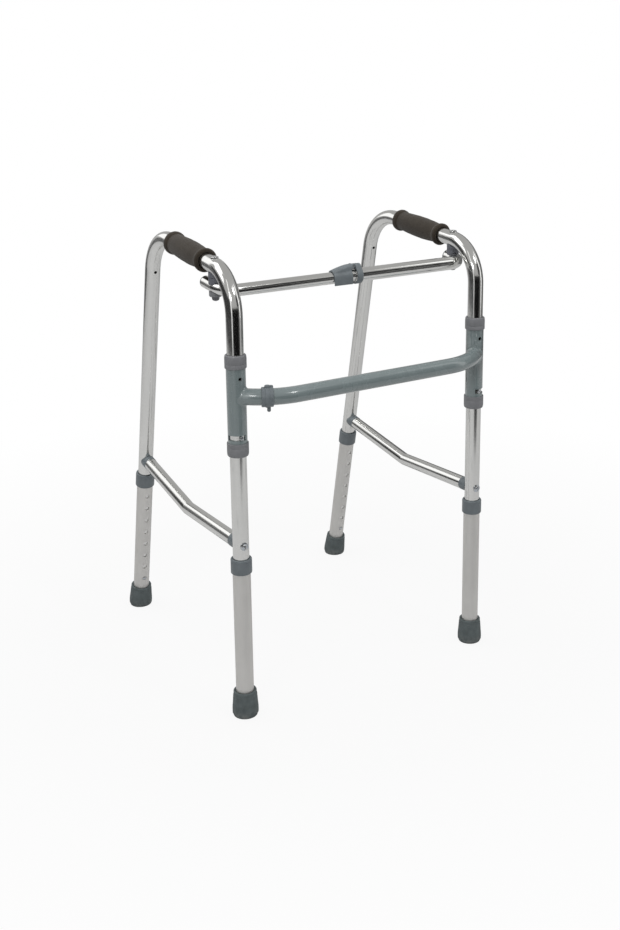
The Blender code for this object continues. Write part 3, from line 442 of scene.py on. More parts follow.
@dataclass(frozen=True)
class Moulded(Finish):
    """Moulded plastic: a fine spark-eroded grain, drift in the colour and dull scuffs."""

    grain: Cloud = Cloud(1500.0, 3.0, 0.6)
    grain_depth: float = 0.000016
    grain_gloss: Span = (0.07, 0.08)
    mottle: Cloud = Cloud(70.0, 4.0)
    tones: Span = (0.90, 1.08)
    scuffs: Cloud = Cloud(330.0, 6.0, 0.7)
    scuff_reach: Span = (0.62, 0.76)
    scuff_strength: float = 0.7
    scuff_tone: float = 1.45

    def dress(self, graph: Graph) -> None:
        """Grain, drift and scuffs.

        Args:
            graph: the nodes of the finish's material.
        """
        grain = graph.noise(self.grain)
        colour = graph.drift(graph.noise(self.mottle), self.colour, self.tones)
        graph.put("Base Color", graph.marked(colour, graph.noise(self.scuffs), self.scuff_reach,
                                             shaded(self.colour, self.scuff_tone),
                                             self.scuff_strength))
        graph.gloss(grain, self.roughness, self.grain_gloss)
        graph.put("Normal", graph.bump(grain, self.grain_depth))


@dataclass(frozen=True)
class FootRubber(Finish):
    """Moulded rubber, dulled and dusty near the floor."""

    grain: Cloud = Cloud(900.0, 4.0, 0.7)
    grain_depth: float = 0.00004
    grain_gloss: Span = (0.10, 0.08)
    blotches: Cloud = Cloud(95.0, 5.0, 0.6)
    tones: Span = (0.80, 1.20)
    dust: Colour = (0.17, 0.17, 0.16)
    dust_height: float = 0.016
    dust_strength: float = 0.75
    dust_reach: Span = (0.42, 0.66)

    def dress(self, graph: Graph) -> None:
        """Grain, blotches, and dust that thins out upwards.

        Args:
            graph: the nodes of the finish's material.
        """
        grain, blotches = graph.noise(self.grain), graph.noise(self.blotches)
        height = graph.add("SeparateXYZ", Vector=graph.place()).outputs["Z"]
        low = graph.remap(height, (0.0, self.dust_height), (self.dust_strength, 0.0))
        dusty = graph.times(low, graph.remap(blotches, self.dust_reach, WHOLE))
        graph.put("Base Color", graph.blend(dusty, graph.drift(blotches, self.colour, self.tones),
                                            self.dust))
        graph.gloss(grain, self.roughness, self.grain_gloss)
        graph.put("Normal", graph.bump(grain, self.grain_depth))


@dataclass(frozen=True)
class GripFoam(Finish):
    """Closed-cell foam: small cells with painted shade in their pits, a matt skin and a faint bloom
    at grazing angles.
    """

    cell_scale: float = 950.0
    cell_depth: float = 0.00012
    # painted shade in the cells' pits: how far from a cell's pit it reaches, how strong it is, and
    # its tone
    pit_size: float = 0.55
    pit_strength: float = 0.55
    pit_tone: float = 0.45
    lumps: Cloud = Cloud(210.0, 5.0, 0.65)
    lump_depth: float = 0.00015
    mottle: Cloud = Cloud(40.0, 4.0)
    tones: Span = (0.84, 1.14)
    shine: float = 0.25
    bloom: float = 0.12
    bloom_roughness: float = 0.6

    def dress(self, graph: Graph) -> None:
        """Cells with painted shade darkening their pits, softer lumps, and a lighter bloom.

        Args:
            graph: the nodes of the finish's material.
        """
        cells = graph.add("TexVoronoi", Vector=graph.place(),
                          Scale=self.cell_scale).outputs["Distance"]
        # Painted shade: the colour darkens towards each cell's pit, where the bump sinks the skin.
        pit_shade = graph.remap(cells, (0.0, self.pit_size), (self.pit_strength, 0.0))
        colour = graph.drift(graph.noise(self.mottle), self.colour, self.tones)
        graph.put("Base Color", graph.blend(pit_shade, colour, shaded(self.colour, self.pit_tone)))
        graph.put("Roughness", self.roughness)
        graph.put("Specular IOR Level", self.shine)
        graph.put("Sheen Weight", self.bloom)
        graph.put("Sheen Roughness", self.bloom_roughness)
        lumps = graph.bump(graph.noise(self.lumps), self.lump_depth)
        graph.put("Normal", graph.bump(cells, self.cell_depth, lumps))


@dataclass(frozen=True)
class ZincPlate(Finish):
    """Bright zinc on a small fixing, with blue and yellow tints in patches."""

    tint: Colour = (0.55, 0.60, 0.66)
    patches: Cloud = Cloud(260.0, 4.0, 0.6)
    patch_reach: Span = (0.35, 0.65)
    patch_gloss: Span = (0.08, 0.12)
    turning: Cloud = Cloud(1400.0, 3.0)
    turning_depth: float = 0.000008

    def dress(self, graph: Graph) -> None:
        """Tints, turning marks and dull patches.

        Args:
            graph: the nodes of the finish's material.
        """
        patches = graph.noise(self.patches)
        graph.put("Base Color", graph.marked(self.colour, patches, self.patch_reach, self.tint))
        graph.put("Metallic", 1.0)
        graph.gloss(patches, self.roughness, self.patch_gloss)
        graph.put("Normal", graph.bump(graph.noise(self.turning), self.turning_depth))


BRIGHT = DrawnMetal("bright_tube", "polished_tube", (0.80, 0.80, 0.785), 0.09)
SATIN = SatinMetal("satin_leg_tube", "satin_leg", (0.72, 0.71, 0.69), 0.46)
PAINT = GlossPaint("grey_green_paint", "painted_frame", tone("707b7c"), 0.26)
BLUE_GREY = Moulded("blue_grey_moulding", "grey_plastic", tone("666d71"), 0.42)
WARM_GREY = Moulded("warm_grey_moulding", "pale_plastic", tone("747578"), 0.50)
RUBBER = FootRubber("foot_rubber", "rubber", tone("51595a"), 0.66)
FOAM = GripFoam("grip_foam", "foam", tone("302920"), 0.92)
ZINC = ZincPlate("zinc_plate", "zinc", (0.62, 0.62, 0.61), 0.28)
BOLT = ZincPlate("bright_plate", "zinc", (0.74, 0.74, 0.73), 0.16, (0.66, 0.67, 0.68))
NUT = ZincPlate("nut_plate", "zinc", (0.27, 0.27, 0.28), 0.34, (0.21, 0.21, 0.23))
SPACER = Moulded("spacer_moulding", "grey_plastic", tone("62646b"), 0.50)
SPRING = ZincPlate("spring_steel", "spring_steel", (0.36, 0.37, 0.40), 0.34, (0.28, 0.29, 0.36))


def stations(path: Sequence[Vector]) -> list[Matrix]:
    """Frames along a path, without twist between them.

    Args:
        path: the points.

    Returns:
        A frame at each point, its Z along the path.
    """
    points = [Vector(point) for point in path]
    runs = [(b - a).normalized() for a, b in zip(points, points[1:])]
    heads = [runs[0], *((a + b).normalized() for a, b in zip(runs, runs[1:])), runs[-1]]
    turn = heads[0].to_track_quat("Z", "Y")
    frames = [Matrix.Translation(points[0]) @ turn.to_matrix().to_4x4()]
    for before, after, point in zip(heads, heads[1:], points[1:]):
        turn = before.rotation_difference(after) @ turn
        frames.append(Matrix.Translation(point) @ turn.to_matrix().to_4x4())
    return frames


def along(start: Sequence[float], end: Sequence[float]) -> Matrix:
    """Matrix at start whose +Z points to end."""
    return stations([Vector(start), Vector(end)])[0]


def bent(corners: Sequence[Sequence[float]], radii: Sequence[float],
         steps: int = 20) -> list[Vector]:
    """A path of straight runs joined by round bends.

    Args:
        corners: the path's ends and the corners between them.
        radii: the bend radius at each corner between the ends.
        steps: points along each bend.

    Returns:
        The path's points.
    """
    points = [Vector(corner) for corner in corners]
    path = [points[0]]
    for before, corner, after, radius in zip(points, points[1:], points[2:], radii):
        entry = (corner - before).normalized()
        leave = (after - corner).normalized()
        turn = entry.angle(leave)
        start = corner - entry * radius * math.tan(turn / 2)
        axis = entry.cross(leave).normalized()
        centre = start + axis.cross(entry) * radius
        path += [centre + Matrix.Rotation(turn * i / steps, 3, axis) @ (start - centre)
                 for i in range(steps + 1)]
    return [*path, points[-1]]


def with_rings(path: Sequence[Vector], spot: Vector, reach: float) -> list[Vector]:
    """Add points to a path either side of a spot, so that a hole drilled there stays round.

    Args:
        path: the path's points.
        spot: a point on one of its straight runs.
        reach: how far from the spot the new points lie.

    Returns:
        The longer path.
    """
    made = [path[0]]
    for start, end in zip(path, path[1:]):
        run = end - start
        share = (spot - start).dot(run) / run.length_squared
        if (start + run * share - spot).length < reach:
            shift = reach / run.length
            made += [start + run * near for near in (share - shift, share + shift)
                     if RUN_END < near < 1 - RUN_END]
        made.append(end)
    return made


class Workpiece:
    """A mesh being made with bmesh operators, in the frame of the sub-assembly it is for."""

    def __init__(self, name: str) -> None:
        """Start an empty workpiece of this name."""
        self.name = name
        self.bm = bmesh.new()

    def turn(self, outline: Outline, matrix: Matrix | None = None,
             steps: int = TUBE_SIDES) -> "Workpiece":
        """Spin an outline about Z.

        Args:
            outline: corners as (radius, height) or (radius, height, rounding). Both ends on
                the axis make a solid; otherwise the outline is closed to a ring's section.
            matrix: where the turned shape goes.
            steps: faces around.

        Returns:
            The workpiece.
        """
        spare = bmesh.new()
        verts = [spare.verts.new((corner[0], 0.0, corner[1])) for corner in outline]
        ring = outline[0][0] > 0.0 or outline[-1][0] > 0.0
        for pair in zip(verts, [*verts[1:], verts[0]] if ring else verts[1:]):
            spare.edges.new(pair)
        for corner, vert in zip(outline, verts):
            if len(corner) > 2:
                bmesh.ops.bevel(spare, geom=[vert], offset=corner[2], offset_type="OFFSET",
                                segments=4, profile=0.5, affect="VERTICES", material=-1)
        bmesh.ops.spin(spare, geom=spare.verts[:] + spare.edges[:], cent=(0, 0, 0),
                       axis=(0, 0, 1), angle=2 * math.pi, steps=steps, use_merge=True,
                       use_duplicate=False)
        bmesh.ops.remove_doubles(spare, verts=spare.verts, dist=MERGE)
        return self.take(spare, matrix)

    def take(self, spare: bmesh.types.BMesh, matrix: Matrix | None = None) -> "Workpiece":
        """Add a closed shape made apart, its faces set to point outwards.

        Args:
            spare: the shape, which is used up.
            matrix: where it goes.

        Returns:
            The workpiece.
        """
        bmesh.ops.recalc_face_normals(spare, faces=spare.faces)
        if matrix is not None:
            bmesh.ops.transform(spare, matrix=matrix, verts=spare.verts)
        mesh = bpy.data.meshes.new(self.name)
        spare.to_mesh(mesh)
        spare.free()
        self.bm.from_mesh(mesh)
        bpy.data.meshes.remove(mesh)
        return self

    def sweep(self, path: Sequence[Vector], radius: float | Callable[[int], float],
              wall: float | None = None, sides: int = TUBE_SIDES,
              joined: bool = False) -> "Workpiece":
        """Draw a round section along a path.

        Args:
            path: the axis.
            radius: outer radius, or a function that gives it for each point of the path.
            wall: wall of an open tube; a solid bar with closed ends if left out.
            sides: faces around.
            joined: the path's last point runs on to its first.

        Returns:
            The workpiece.
        """
        size = radius if callable(radius) else (lambda _: radius)
        spare = bmesh.new()
        frames = stations([path[-1], *path, path[0]])[1:-1] if joined else stations(path)
        bmesh.ops.create_circle(spare, segments=sides, radius=size(0), matrix=frames[0])
        edges = first = spare.edges[:]
        for index, (before, after) in enumerate(zip(frames, frames[1:])):
            grown = bmesh.ops.extrude_edge_only(spare, edges=edges)["geom"]
            ring = [item for item in grown if isinstance(item, bmesh.types.BMVert)]
            fresh = set(ring)
            edges = [item for item in grown if isinstance(item, bmesh.types.BMEdge)
                     and fresh.issuperset(item.verts)]
            grow = size(index + 1) / size(index)
            bmesh.ops.transform(spare, verts=ring, matrix=(
                after @ Matrix.Diagonal((grow, grow, 1.0, 1.0)) @ before.inverted()))
        if joined:
            bmesh.ops.bridge_loops(spare, edges=first + edges)
        elif wall is None:
            for loop in (first, edges):
                bmesh.ops.contextual_create(spare, geom=loop)
        else:
            bmesh.ops.recalc_face_normals(spare, faces=spare.faces)
            bmesh.ops.solidify(spare, geom=spare.faces[:], thickness=wall)
        return self.take(spare)

    def loft(self, sections: Sequence[Sequence[Vector]], soft: float = 0.0) -> "Workpiece":
        """Add a closed skin through sections.

        Args:
            sections: rings of points, each with as many as the next.
            soft: rounding of its sharp edges.

        Returns:
            The workpiece.
        """
        spare = bmesh.new()
        loops = []
        for section in sections:
            verts = [spare.verts.new(point) for point in section]
            loops.append([spare.edges.new(pair) for pair in zip(verts, [*verts[1:], verts[0]])])
        for before, after in zip(loops, loops[1:]):
            bmesh.ops.bridge_loops(spare, edges=before + after)
        for loop in (loops[0], loops[-1]):
            bmesh.ops.contextual_create(spare, geom=loop)
        bmesh.ops.recalc_face_normals(spare, faces=spare.faces)
        if soft > 0.0:
            self.round_edges(spare, soft)
        return self.take(spare)

    def bar(self, start: Sequence[float], end: Sequence[float], radius: float,
            sides: int = SMALL_SIDES, soft: float = 0.0) -> "Workpiece":
        """Add a straight round bar.

        Args:
            start: middle of one end.
            end: middle of the other.
            radius: its radius.
            sides: faces around.
            soft: rounding of its end edges.

        Returns:
            The workpiece.
        """
        length = (Vector(end) - Vector(start)).length
        spare = bmesh.new()
        bmesh.ops.create_cone(spare, cap_ends=True, segments=sides, radius1=radius,
                              radius2=radius, depth=length,
                              matrix=Matrix.Translation((0, 0, length / 2)))
        if soft > 0.0:
            self.round_edges(spare, soft)
        return self.take(spare, along(start, end))

    def block(self, centre: Sequence[float], size: Sequence[float], soft: float = 0.0,
              tilt: Matrix | None = None) -> "Workpiece":
        """Add a box.

        Args:
            centre: its middle.
            size: its lengths along x, y and z.
            soft: rounding of its edges.
            tilt: turn about its middle.

        Returns:
            The workpiece.
        """
        spare = bmesh.new()
        bmesh.ops.create_cube(spare, size=1.0, matrix=Matrix.Diagonal((*size, 1.0)))
        if soft > 0.0:
            self.round_edges(spare, soft)
        return self.take(spare, Matrix.Translation(centre) @ (tilt or Matrix()))

    @staticmethod
    def round_edges(bm: bmesh.types.BMesh, width: float) -> None:
        """Round every sharp edge of a closed shape.

        Args:
            bm: the shape.
            width: how far from the edge the rounding starts.
        """
        bm.normal_update()
        sharp = [edge for edge in bm.edges if edge.calc_face_angle(0.0) > SHARP]
        bmesh.ops.bevel(bm, geom=sharp, offset=width, offset_type="OFFSET", segments=3,
                        profile=0.5, affect="EDGES", material=-1)

    def object(self) -> bpy.types.Object:
        """The workpiece as an object at the origin.

        Returns:
            The object.
        """
        mesh = bpy.data.meshes.new(self.name)
        self.bm.to_mesh(mesh)
        self.bm.free()
        obj = bpy.data.objects.new(self.name, mesh)
        bpy.context.scene.collection.objects.link(obj)
        return obj


def machined(piece: bpy.types.Object, operation: str,
             *tools: bpy.types.Object) -> bpy.types.Object:
    """Cut or join a piece with others, which are used up.

    Args:
        piece: the mesh object that stays.
        operation: DIFFERENCE to cut, UNION to weld.
        tools: closed mesh objects.

    Returns:
        The piece.
    """
    for tool in tools:
        step = piece.modifiers.new(tool.name, "BOOLEAN")
        step.operation = operation
        step.solver = "EXACT"
        step.object = tool
    bpy.context.view_layer.update()
    evaluated = piece.evaluated_get(bpy.context.evaluated_depsgraph_get())
    fresh = bpy.data.meshes.new_from_object(evaluated)
    piece.modifiers.clear()
    piece.data = fresh
    for tool in tools:
        bpy.data.objects.remove(tool, do_unlink=True)
    return piece


def cut(piece: bpy.types.Object, *tools: Workpiece) -> bpy.types.Object:
    """Cut a piece with workpieces."""
    return machined(piece, "DIFFERENCE", *(tool.object() for tool in tools))


def weld(piece: bpy.types.Object, *tools: Workpiece) -> bpy.types.Object:
    """Join workpieces to a piece."""
    return machined(piece, "UNION", *(tool.object() for tool in tools))


def mark_run(piece: bpy.types.Object, path: Sequence[Vector]) -> None:
    """Give each point of a tube its place in the tube as if it were straightened.

    The place is across, across and along the run, so that drawing lines follow the bends.

    Args:
        piece: the tube, in the same frame as the path.
        path: the tube's axis.
    """
    count = len(piece.data.vertices)
    points = np.empty(count * 3)
    piece.data.vertices.foreach_get("co", points)
    points = points.reshape(-1, 3)
    best = np.full(count, np.inf)
    place = np.zeros((count, 3))
    run_so_far = 0.0
    for start, end, pose in zip(path, path[1:], stations(path)):
        run = np.array(end - start)
        length = np.linalg.norm(run)
        offset = points - np.array(start)
        share = np.clip(offset @ run / length ** 2, 0.0, 1.0)
        off_axis = offset - share[:, None] * run
        distance = np.linalg.norm(off_axis, axis=1)
        nearer = distance < best
        best[nearer] = distance[nearer]
        across = np.array(pose.to_3x3())[:, :2]
        found = np.column_stack([off_axis @ across, run_so_far + share * length])
        place[nearer] = found[nearer]
        run_so_far += length
    attribute = piece.data.attributes.new(Pattern.RUN.value, "FLOAT_VECTOR", "POINT")
    attribute.data.foreach_set("vector", place.astype(np.float32).ravel())


def hand_over(piece: bpy.types.Object, node: str, finish: Finish,
              matrix: Matrix | None = None) -> bpy.types.Object:
    """Put a finished piece in the walker in place of its plain solid.

    Args:
        piece: the finished mesh.
        node: the solid of the frame that it stands for.
        finish: its surface.
        matrix: from the sub-assembly's frame to the walker's.

    Returns:
        The piece.
    """
    if matrix is not None:
        piece.data.transform(matrix)
    piece.name = piece.data.name = f"{node}_finished"
    piece.data.shade_smooth()
    piece.data.set_sharp_from_angle(angle=SHARP)
    piece.data.materials.clear()
    piece.data.materials.append(finish.material())
    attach(piece, frame["nodes"][node]["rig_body"])
    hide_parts(node)
    LOG.info("%s: %d faces", piece.name, len(piece.data.polygons))
    return piece


@dataclass(frozen=True)
class Stance:
    """Where the tubes stand; shared by the sub-assemblies."""

    toe_in: float = math.radians(1.0829)
    rear_foot: float = 0.4549
    lean: float = math.radians(11.805)
    handle_slope: float = math.tan(math.radians(4.5967))
    handle_z: float = 0.7076
    tube_r: float = 0.0127
    tube_wall: float = 0.0013

    @property
    def rear_slope(self) -> float:
        """How far forward the rear leg runs for each metre up."""
        return math.tan(self.lean)

    def handle_at(self, u: float) -> float:
        """Height of a handle's axis at a distance behind the front leg."""
        return self.handle_z + self.handle_slope * u

    @property
    def bore_r(self) -> float:
        """Bore of whatever slides or turns on the side tube."""
        return self.tube_r + SLIP

    def rear_u(self, z: float) -> float:
        """How far behind the front leg the rear leg's axis is at a height."""
        return self.rear_foot - self.rear_slope * z

    def side(self, side: Side) -> Matrix:
        """From a side frame's own frame to the walker's.

        Args:
            side: which side.

        Returns:
            The matrix; the side's own frame has y running back along its handle.
        """
        fold = joint_place(f"{side.label}_frame_fold")
        return (Matrix.Translation((fold.x, fold.y, 0.0))
                @ Matrix.Rotation(side.value * self.toe_in, 4, "Z"))

    def rear_leg(self, side: Side) -> Matrix:
        """From the rear leg's own frame, z up the leg, to the walker's."""
        return (self.side(side) @ Matrix.Translation((0.0, self.rear_foot, 0.0))
                @ Matrix.Rotation(self.lean, 4, "X"))


STANCE = Stance()


@dataclass
class SideFrame:
    """One side: the bent tube with its grip, the low brace, and what is screwed to them."""

    side: Side
    front_bend_r: float = 0.0667
    rear_bend_r: float = 0.0782
    tube_end: float = 0.0460
    rear_hole_z: float = 0.6645
    hole_r: float = 0.0026
    hole_ring: float = 0.0060
    hole_drill: float = 1.4
    grip_start: float = 0.0930
    grip_length: float = 0.1265
    grip_flange_r: float = 0.0190
    grip_waist_r: float = 0.0159
    grip_swell_r: float = 0.0183
    grip_flange: float = 0.0108
    grip_rim: float = 0.0044
    grip_roll: float = 0.0034
    grip_neck: float = 0.0045
    grip_power: float = 0.8
    grip_rows: int = 26
    grip_sides: int = 96
    grip_dents: tuple[Span, ...] = ((65.0, 0.00035), (320.0, 0.00010))
    brace_r: float = 0.0110
    brace_wall: float = 0.0012
    brace_front_z: float = 0.2889
    brace_kink: Span = (0.2015, 0.2780)
    brace_rear_z: float = 0.3071
    brace_kink_r: float = 0.0200
    plug_length: float = 0.0115
    plug_rim: float = 0.0004
    plug_spigot: float = 0.0120
    thread_depth: float = 0.0227
    screw_r: float = 0.0025
    screw_turn: float = 20.0
    screw_slot: tuple[float, float, float] = (0.0010, 0.0030, 0.0056)
    washer_r: float = 0.0064
    washer_t: float = 0.0012
    head_r: float = 0.0046
    head_h: float = 0.0022
    stop_z: float = 0.4631
    stop_r: float = 0.0032
    stop_top: float = 0.01515
    stop_slot: tuple[float, float, float] = (0.0046, 0.0014, 0.0008)
    detent_z: float = 0.5546
    detent_r: float = 0.0026
    pivot_at: float = 0.0633
    spacer_r: float = 0.0102
    spacer_wrap: float = 0.0045
    bolt_head_r: float = 0.0062
    bolt_head_h: float = 0.0016
    bolt_dimple_r: float = 0.0016
    bolt_r: float = 0.0030
    bolt_hole_r: float = 0.0034

    @property
    def name(self) -> str:
        """The side's name in its nodes."""
        return self.side.label

    def fit(self, piece: bpy.types.Object, part: str, finish: Finish) -> bpy.types.Object:
        """Put a finished piece of this side in the walker."""
        return hand_over(piece, f"{self.name}_{part}", finish, STANCE.side(self.side))

    def tube_path(self) -> list[Vector]:
        """Axis of the bent tube.

        Returns:
            Points from the front leg's end to the rear leg's.
        """
        corner_z = (STANCE.handle_at(STANCE.rear_foot)
                    / (1 + STANCE.handle_slope * STANCE.rear_slope))
        end_z = self.tube_end * math.cos(STANCE.lean)
        return bent([(0, 0, self.tube_end), (0, 0, STANCE.handle_z),
                     (0, STANCE.rear_u(corner_z), corner_z), (0, STANCE.rear_u(end_z), end_z)],
                    [self.front_bend_r, self.rear_bend_r])

    def skin(self) -> Workpiece:
        """The tube's skin and a seat's gap, which shapes whatever hugs the tube."""
        return Workpiece("skin").sweep(self.tube_path(), STANCE.tube_r + SEAT)

    def build(self) -> None:
        """Make every piece of the side."""
        self.tube()
        self.grip()
        self.brace()
        self.stop_screw()
        self.pivot()

    def tube(self) -> None:
        """The bent tube, with the hole behind its rear bend and those that pins pass through."""
        path = self.tube_path()
        hole = Vector((0, STANCE.rear_u(self.rear_hole_z), self.rear_hole_z))
        forward = Vector((0, -1, -STANCE.rear_slope)).normalized() * STANCE.tube_r * self.hole_drill
        detent = Vector((0, 0, self.detent_z))
        ringed = with_rings(with_rings(path, hole, self.hole_ring), detent, self.hole_ring)
        tube = Workpiece(f"{self.name}_tube").sweep(ringed, STANCE.tube_r, STANCE.tube_wall)
        tube = cut(tube.object(),
                   Workpiece("hole").bar(hole, hole + forward, self.hole_r),
                   Workpiece("detent").bar(detent, detent + Vector((0, -DRILL, 0)), self.detent_r))
        mark_run(tube, path)
        self.fit(tube, "side_tube", BRIGHT)

    def grip_radius(self, share: float) -> float:
        """Radius of the foam between its flanges, share 0 to 1 of the way."""
        swell = math.sin(math.pi * share) ** self.grip_power
        return self.grip_waist_r + (self.grip_swell_r - self.grip_waist_r) * swell

    def grip(self) -> None:
        """Foam grip: thick rolled flanges, drawn in beside them, swelling in the palm."""
        half = self.grip_length / 2
        shoulder = half - self.grip_flange
        bore = STANCE.tube_r + SEAT
        flange = [(self.grip_flange_r, half, self.grip_rim),
                  (self.grip_flange_r, shoulder + 0.0020, self.grip_roll),
                  (self.grip_waist_r + 0.0002, shoulder - 0.0012, ROUND)]
        shares = [row / self.grip_rows for row in range(1, self.grip_rows)]
        outline = [*flange,
                   *((self.grip_radius(share), (shoulder - self.grip_neck) * (1 - 2 * share))
                     for share in shares),
                   *((radius, -height, soft) for radius, height, soft in reversed(flange)),
                   (bore, -half, ROUND), (bore, half, ROUND)]
        run = Vector((0, 1, STANCE.handle_slope)).normalized()
        middle = Vector((0, self.grip_start, STANCE.handle_at(self.grip_start))) + run * half
        work = Workpiece(f"{self.name}_grip_foam").turn(outline, along(middle, middle + run),
                                                        steps=self.grip_sides)
        work.bm.normal_update()
        for vert in work.bm.verts:
            if (vert.co - middle).cross(run).length > bore + 0.001:
                vert.co += vert.normal * sum(noise.noise(vert.co * scale) * depth
                                             for scale, depth in self.grip_dents)
        self.fit(work.object(), "grip", FOAM)

    def brace(self) -> None:
        """Cranked tube low between the legs, its saddle plugs and their screws."""
        front = Vector((0, 0, self.brace_front_z))
        rear = Vector((0, STANCE.rear_u(self.brace_rear_z), self.brace_rear_z))
        axis = bent([front, (0, *self.brace_kink), rear], [self.brace_kink_r])
        reach = STANCE.tube_r + SEAT + self.plug_length
        runs = ((axis[1] - axis[0]).normalized(), (axis[-2] - axis[-1]).normalized())
        path = [axis[0] + runs[0] * reach, *axis[1:-1], axis[-1] + runs[1] * reach]
        tube = Workpiece("brace_tube").sweep(path, self.brace_r, self.brace_wall).object()
        mark_run(tube, path)
        self.fit(tube, "side_brace", BRIGHT)
        spigot = self.brace_r - self.brace_wall - SEAT
        rim = self.brace_r + self.plug_rim
        far = reach + self.plug_spigot
        outline = [(0, far), (spigot, far, 0.001), (spigot, reach - SEAT),
                   (rim, reach - SEAT, EASED), (rim, 0.0), (0, 0.0)]
        for end, foot, run in (("front", front, runs[0]), ("rear", rear, runs[1])):
            plug = Workpiece("plug").turn(outline, along(foot, foot + run))
            out = Vector((0, -1 if end == "front" else 1, 0))
            thread = Workpiece("thread").bar(foot, foot - out * self.thread_depth,
                                             self.screw_r + SEAT)
            self.fit(cut(plug.object(), self.skin(), thread), f"brace_{end}_plug", BLUE_GREY)
            self.brace_screw(end, foot, out)

    def brace_screw(self, end: str, foot: Vector, out: Vector) -> None:
        """Cross-head screw on a dished washer, through the leg into the plug.

        Args:
            end: front or rear.
            foot: where the screw crosses the leg's axis.
            out: the way that its head faces.
        """
        skin = STANCE.tube_r + SEAT
        top = skin + self.washer_t
        outline = [(0, top + self.head_h), (self.head_r * 0.55, top + self.head_h * 0.93),
                   (self.head_r, top + self.head_h * 0.30, EASED), (self.head_r, top + 0.0001),
                   (self.head_r + 0.0004, top - 0.0001), (self.washer_r, top - 0.0005, CRISP),
                   (self.washer_r, skin - 0.0019), (0, skin - 0.0019)]
        screw = Workpiece("screw").turn(outline, along(foot, foot + out), steps=SMALL_SIDES)
        screw = cut(screw.object(), self.skin())
        shank = Workpiece("shank").bar(foot - out * (STANCE.tube_r + 0.009), foot + out * top,
                                       self.screw_r)
        screw = weld(screw, shank)
        centre = foot + out * (top + self.head_h)
        slots = [Workpiece("slot").block(centre, self.screw_slot, 0.0002,
                                         Matrix.Rotation(math.radians(angle), 4, "Y"))
                 for angle in (self.screw_turn, self.screw_turn + 90.0)]
        self.fit(cut(screw, *slots), f"brace_{end}_screw", ZINC)

    def stop_screw(self) -> None:
        """Flat-topped screw whose head runs in the sleeve's slot."""
        skin = STANCE.tube_r + SEAT
        tip = STANCE.tube_r - STANCE.tube_wall - 0.004
        outline = [(0, self.stop_top), (self.stop_r, self.stop_top, 0.0005), (self.stop_r, skin),
                   (self.screw_r, skin), (self.screw_r, tip, EDGE), (0, tip)]
        foot = Vector((0, 0, self.stop_z))
        front = Vector((0, -1, 0))
        screw = Workpiece("stop").turn(outline, along(foot, foot + front), steps=SMALL_SIDES)
        slot = Workpiece("slot").block(foot + front * self.stop_top, self.stop_slot)
        self.fit(cut(screw.object(), slot), "stop_screw", ZINC)

    def pivot(self) -> None:
        """Moulded spacer under the handle and the flat-headed bolt through both."""
        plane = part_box(f"{self.name}_pivot_upper_washer")[0].z
        handle = STANCE.handle_at(self.pivot_at)
        top = handle - STANCE.tube_r + self.spacer_wrap
        outline = [(0, plane), (self.spacer_r, plane, EDGE), (self.spacer_r, top), (0, top)]
        spacer = Workpiece("spacer").turn(outline, Matrix.Translation((0, self.pivot_at, 0)))
        bore = Workpiece("bore").bar((0, self.pivot_at, plane - OVER),
                                     (0, self.pivot_at, handle), self.bolt_hole_r)
        self.fit(cut(spacer.object(), self.skin(), bore), "pivot_upper_washer", SPACER)
        crest = handle + STANCE.tube_r + SEAT
        drop = self.bolt_head_r * STANCE.handle_slope + SEAT * 4
        rise = self.bolt_head_h + drop
        head = [(0, rise - 0.0011), (self.bolt_dimple_r * 0.7, rise - 0.0010),
                (self.bolt_dimple_r, rise, CRISP), (self.bolt_head_r * 0.55, rise - 0.0001),
                (self.bolt_head_r * 0.86, rise - self.bolt_head_h * 0.30, 0.0008),
                (self.bolt_head_r, rise - self.bolt_head_h * 0.85, CRISP),
                (self.bolt_head_r, 0), (0, 0)]
        bolt = Workpiece("bolt").turn(head, Matrix.Translation((0, self.pivot_at, crest - drop)),
                                      steps=SMALL_SIDES)
        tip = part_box(f"{self.name}_pivot_bolt")[0].z
        shank = Workpiece("shank").bar((0, self.pivot_at, tip), (0, self.pivot_at, crest + SEAT),
                                       self.bolt_r, soft=EDGE)
        self.fit(weld(cut(bolt.object(), self.skin()), shank), "pivot_bolt", BOLT)


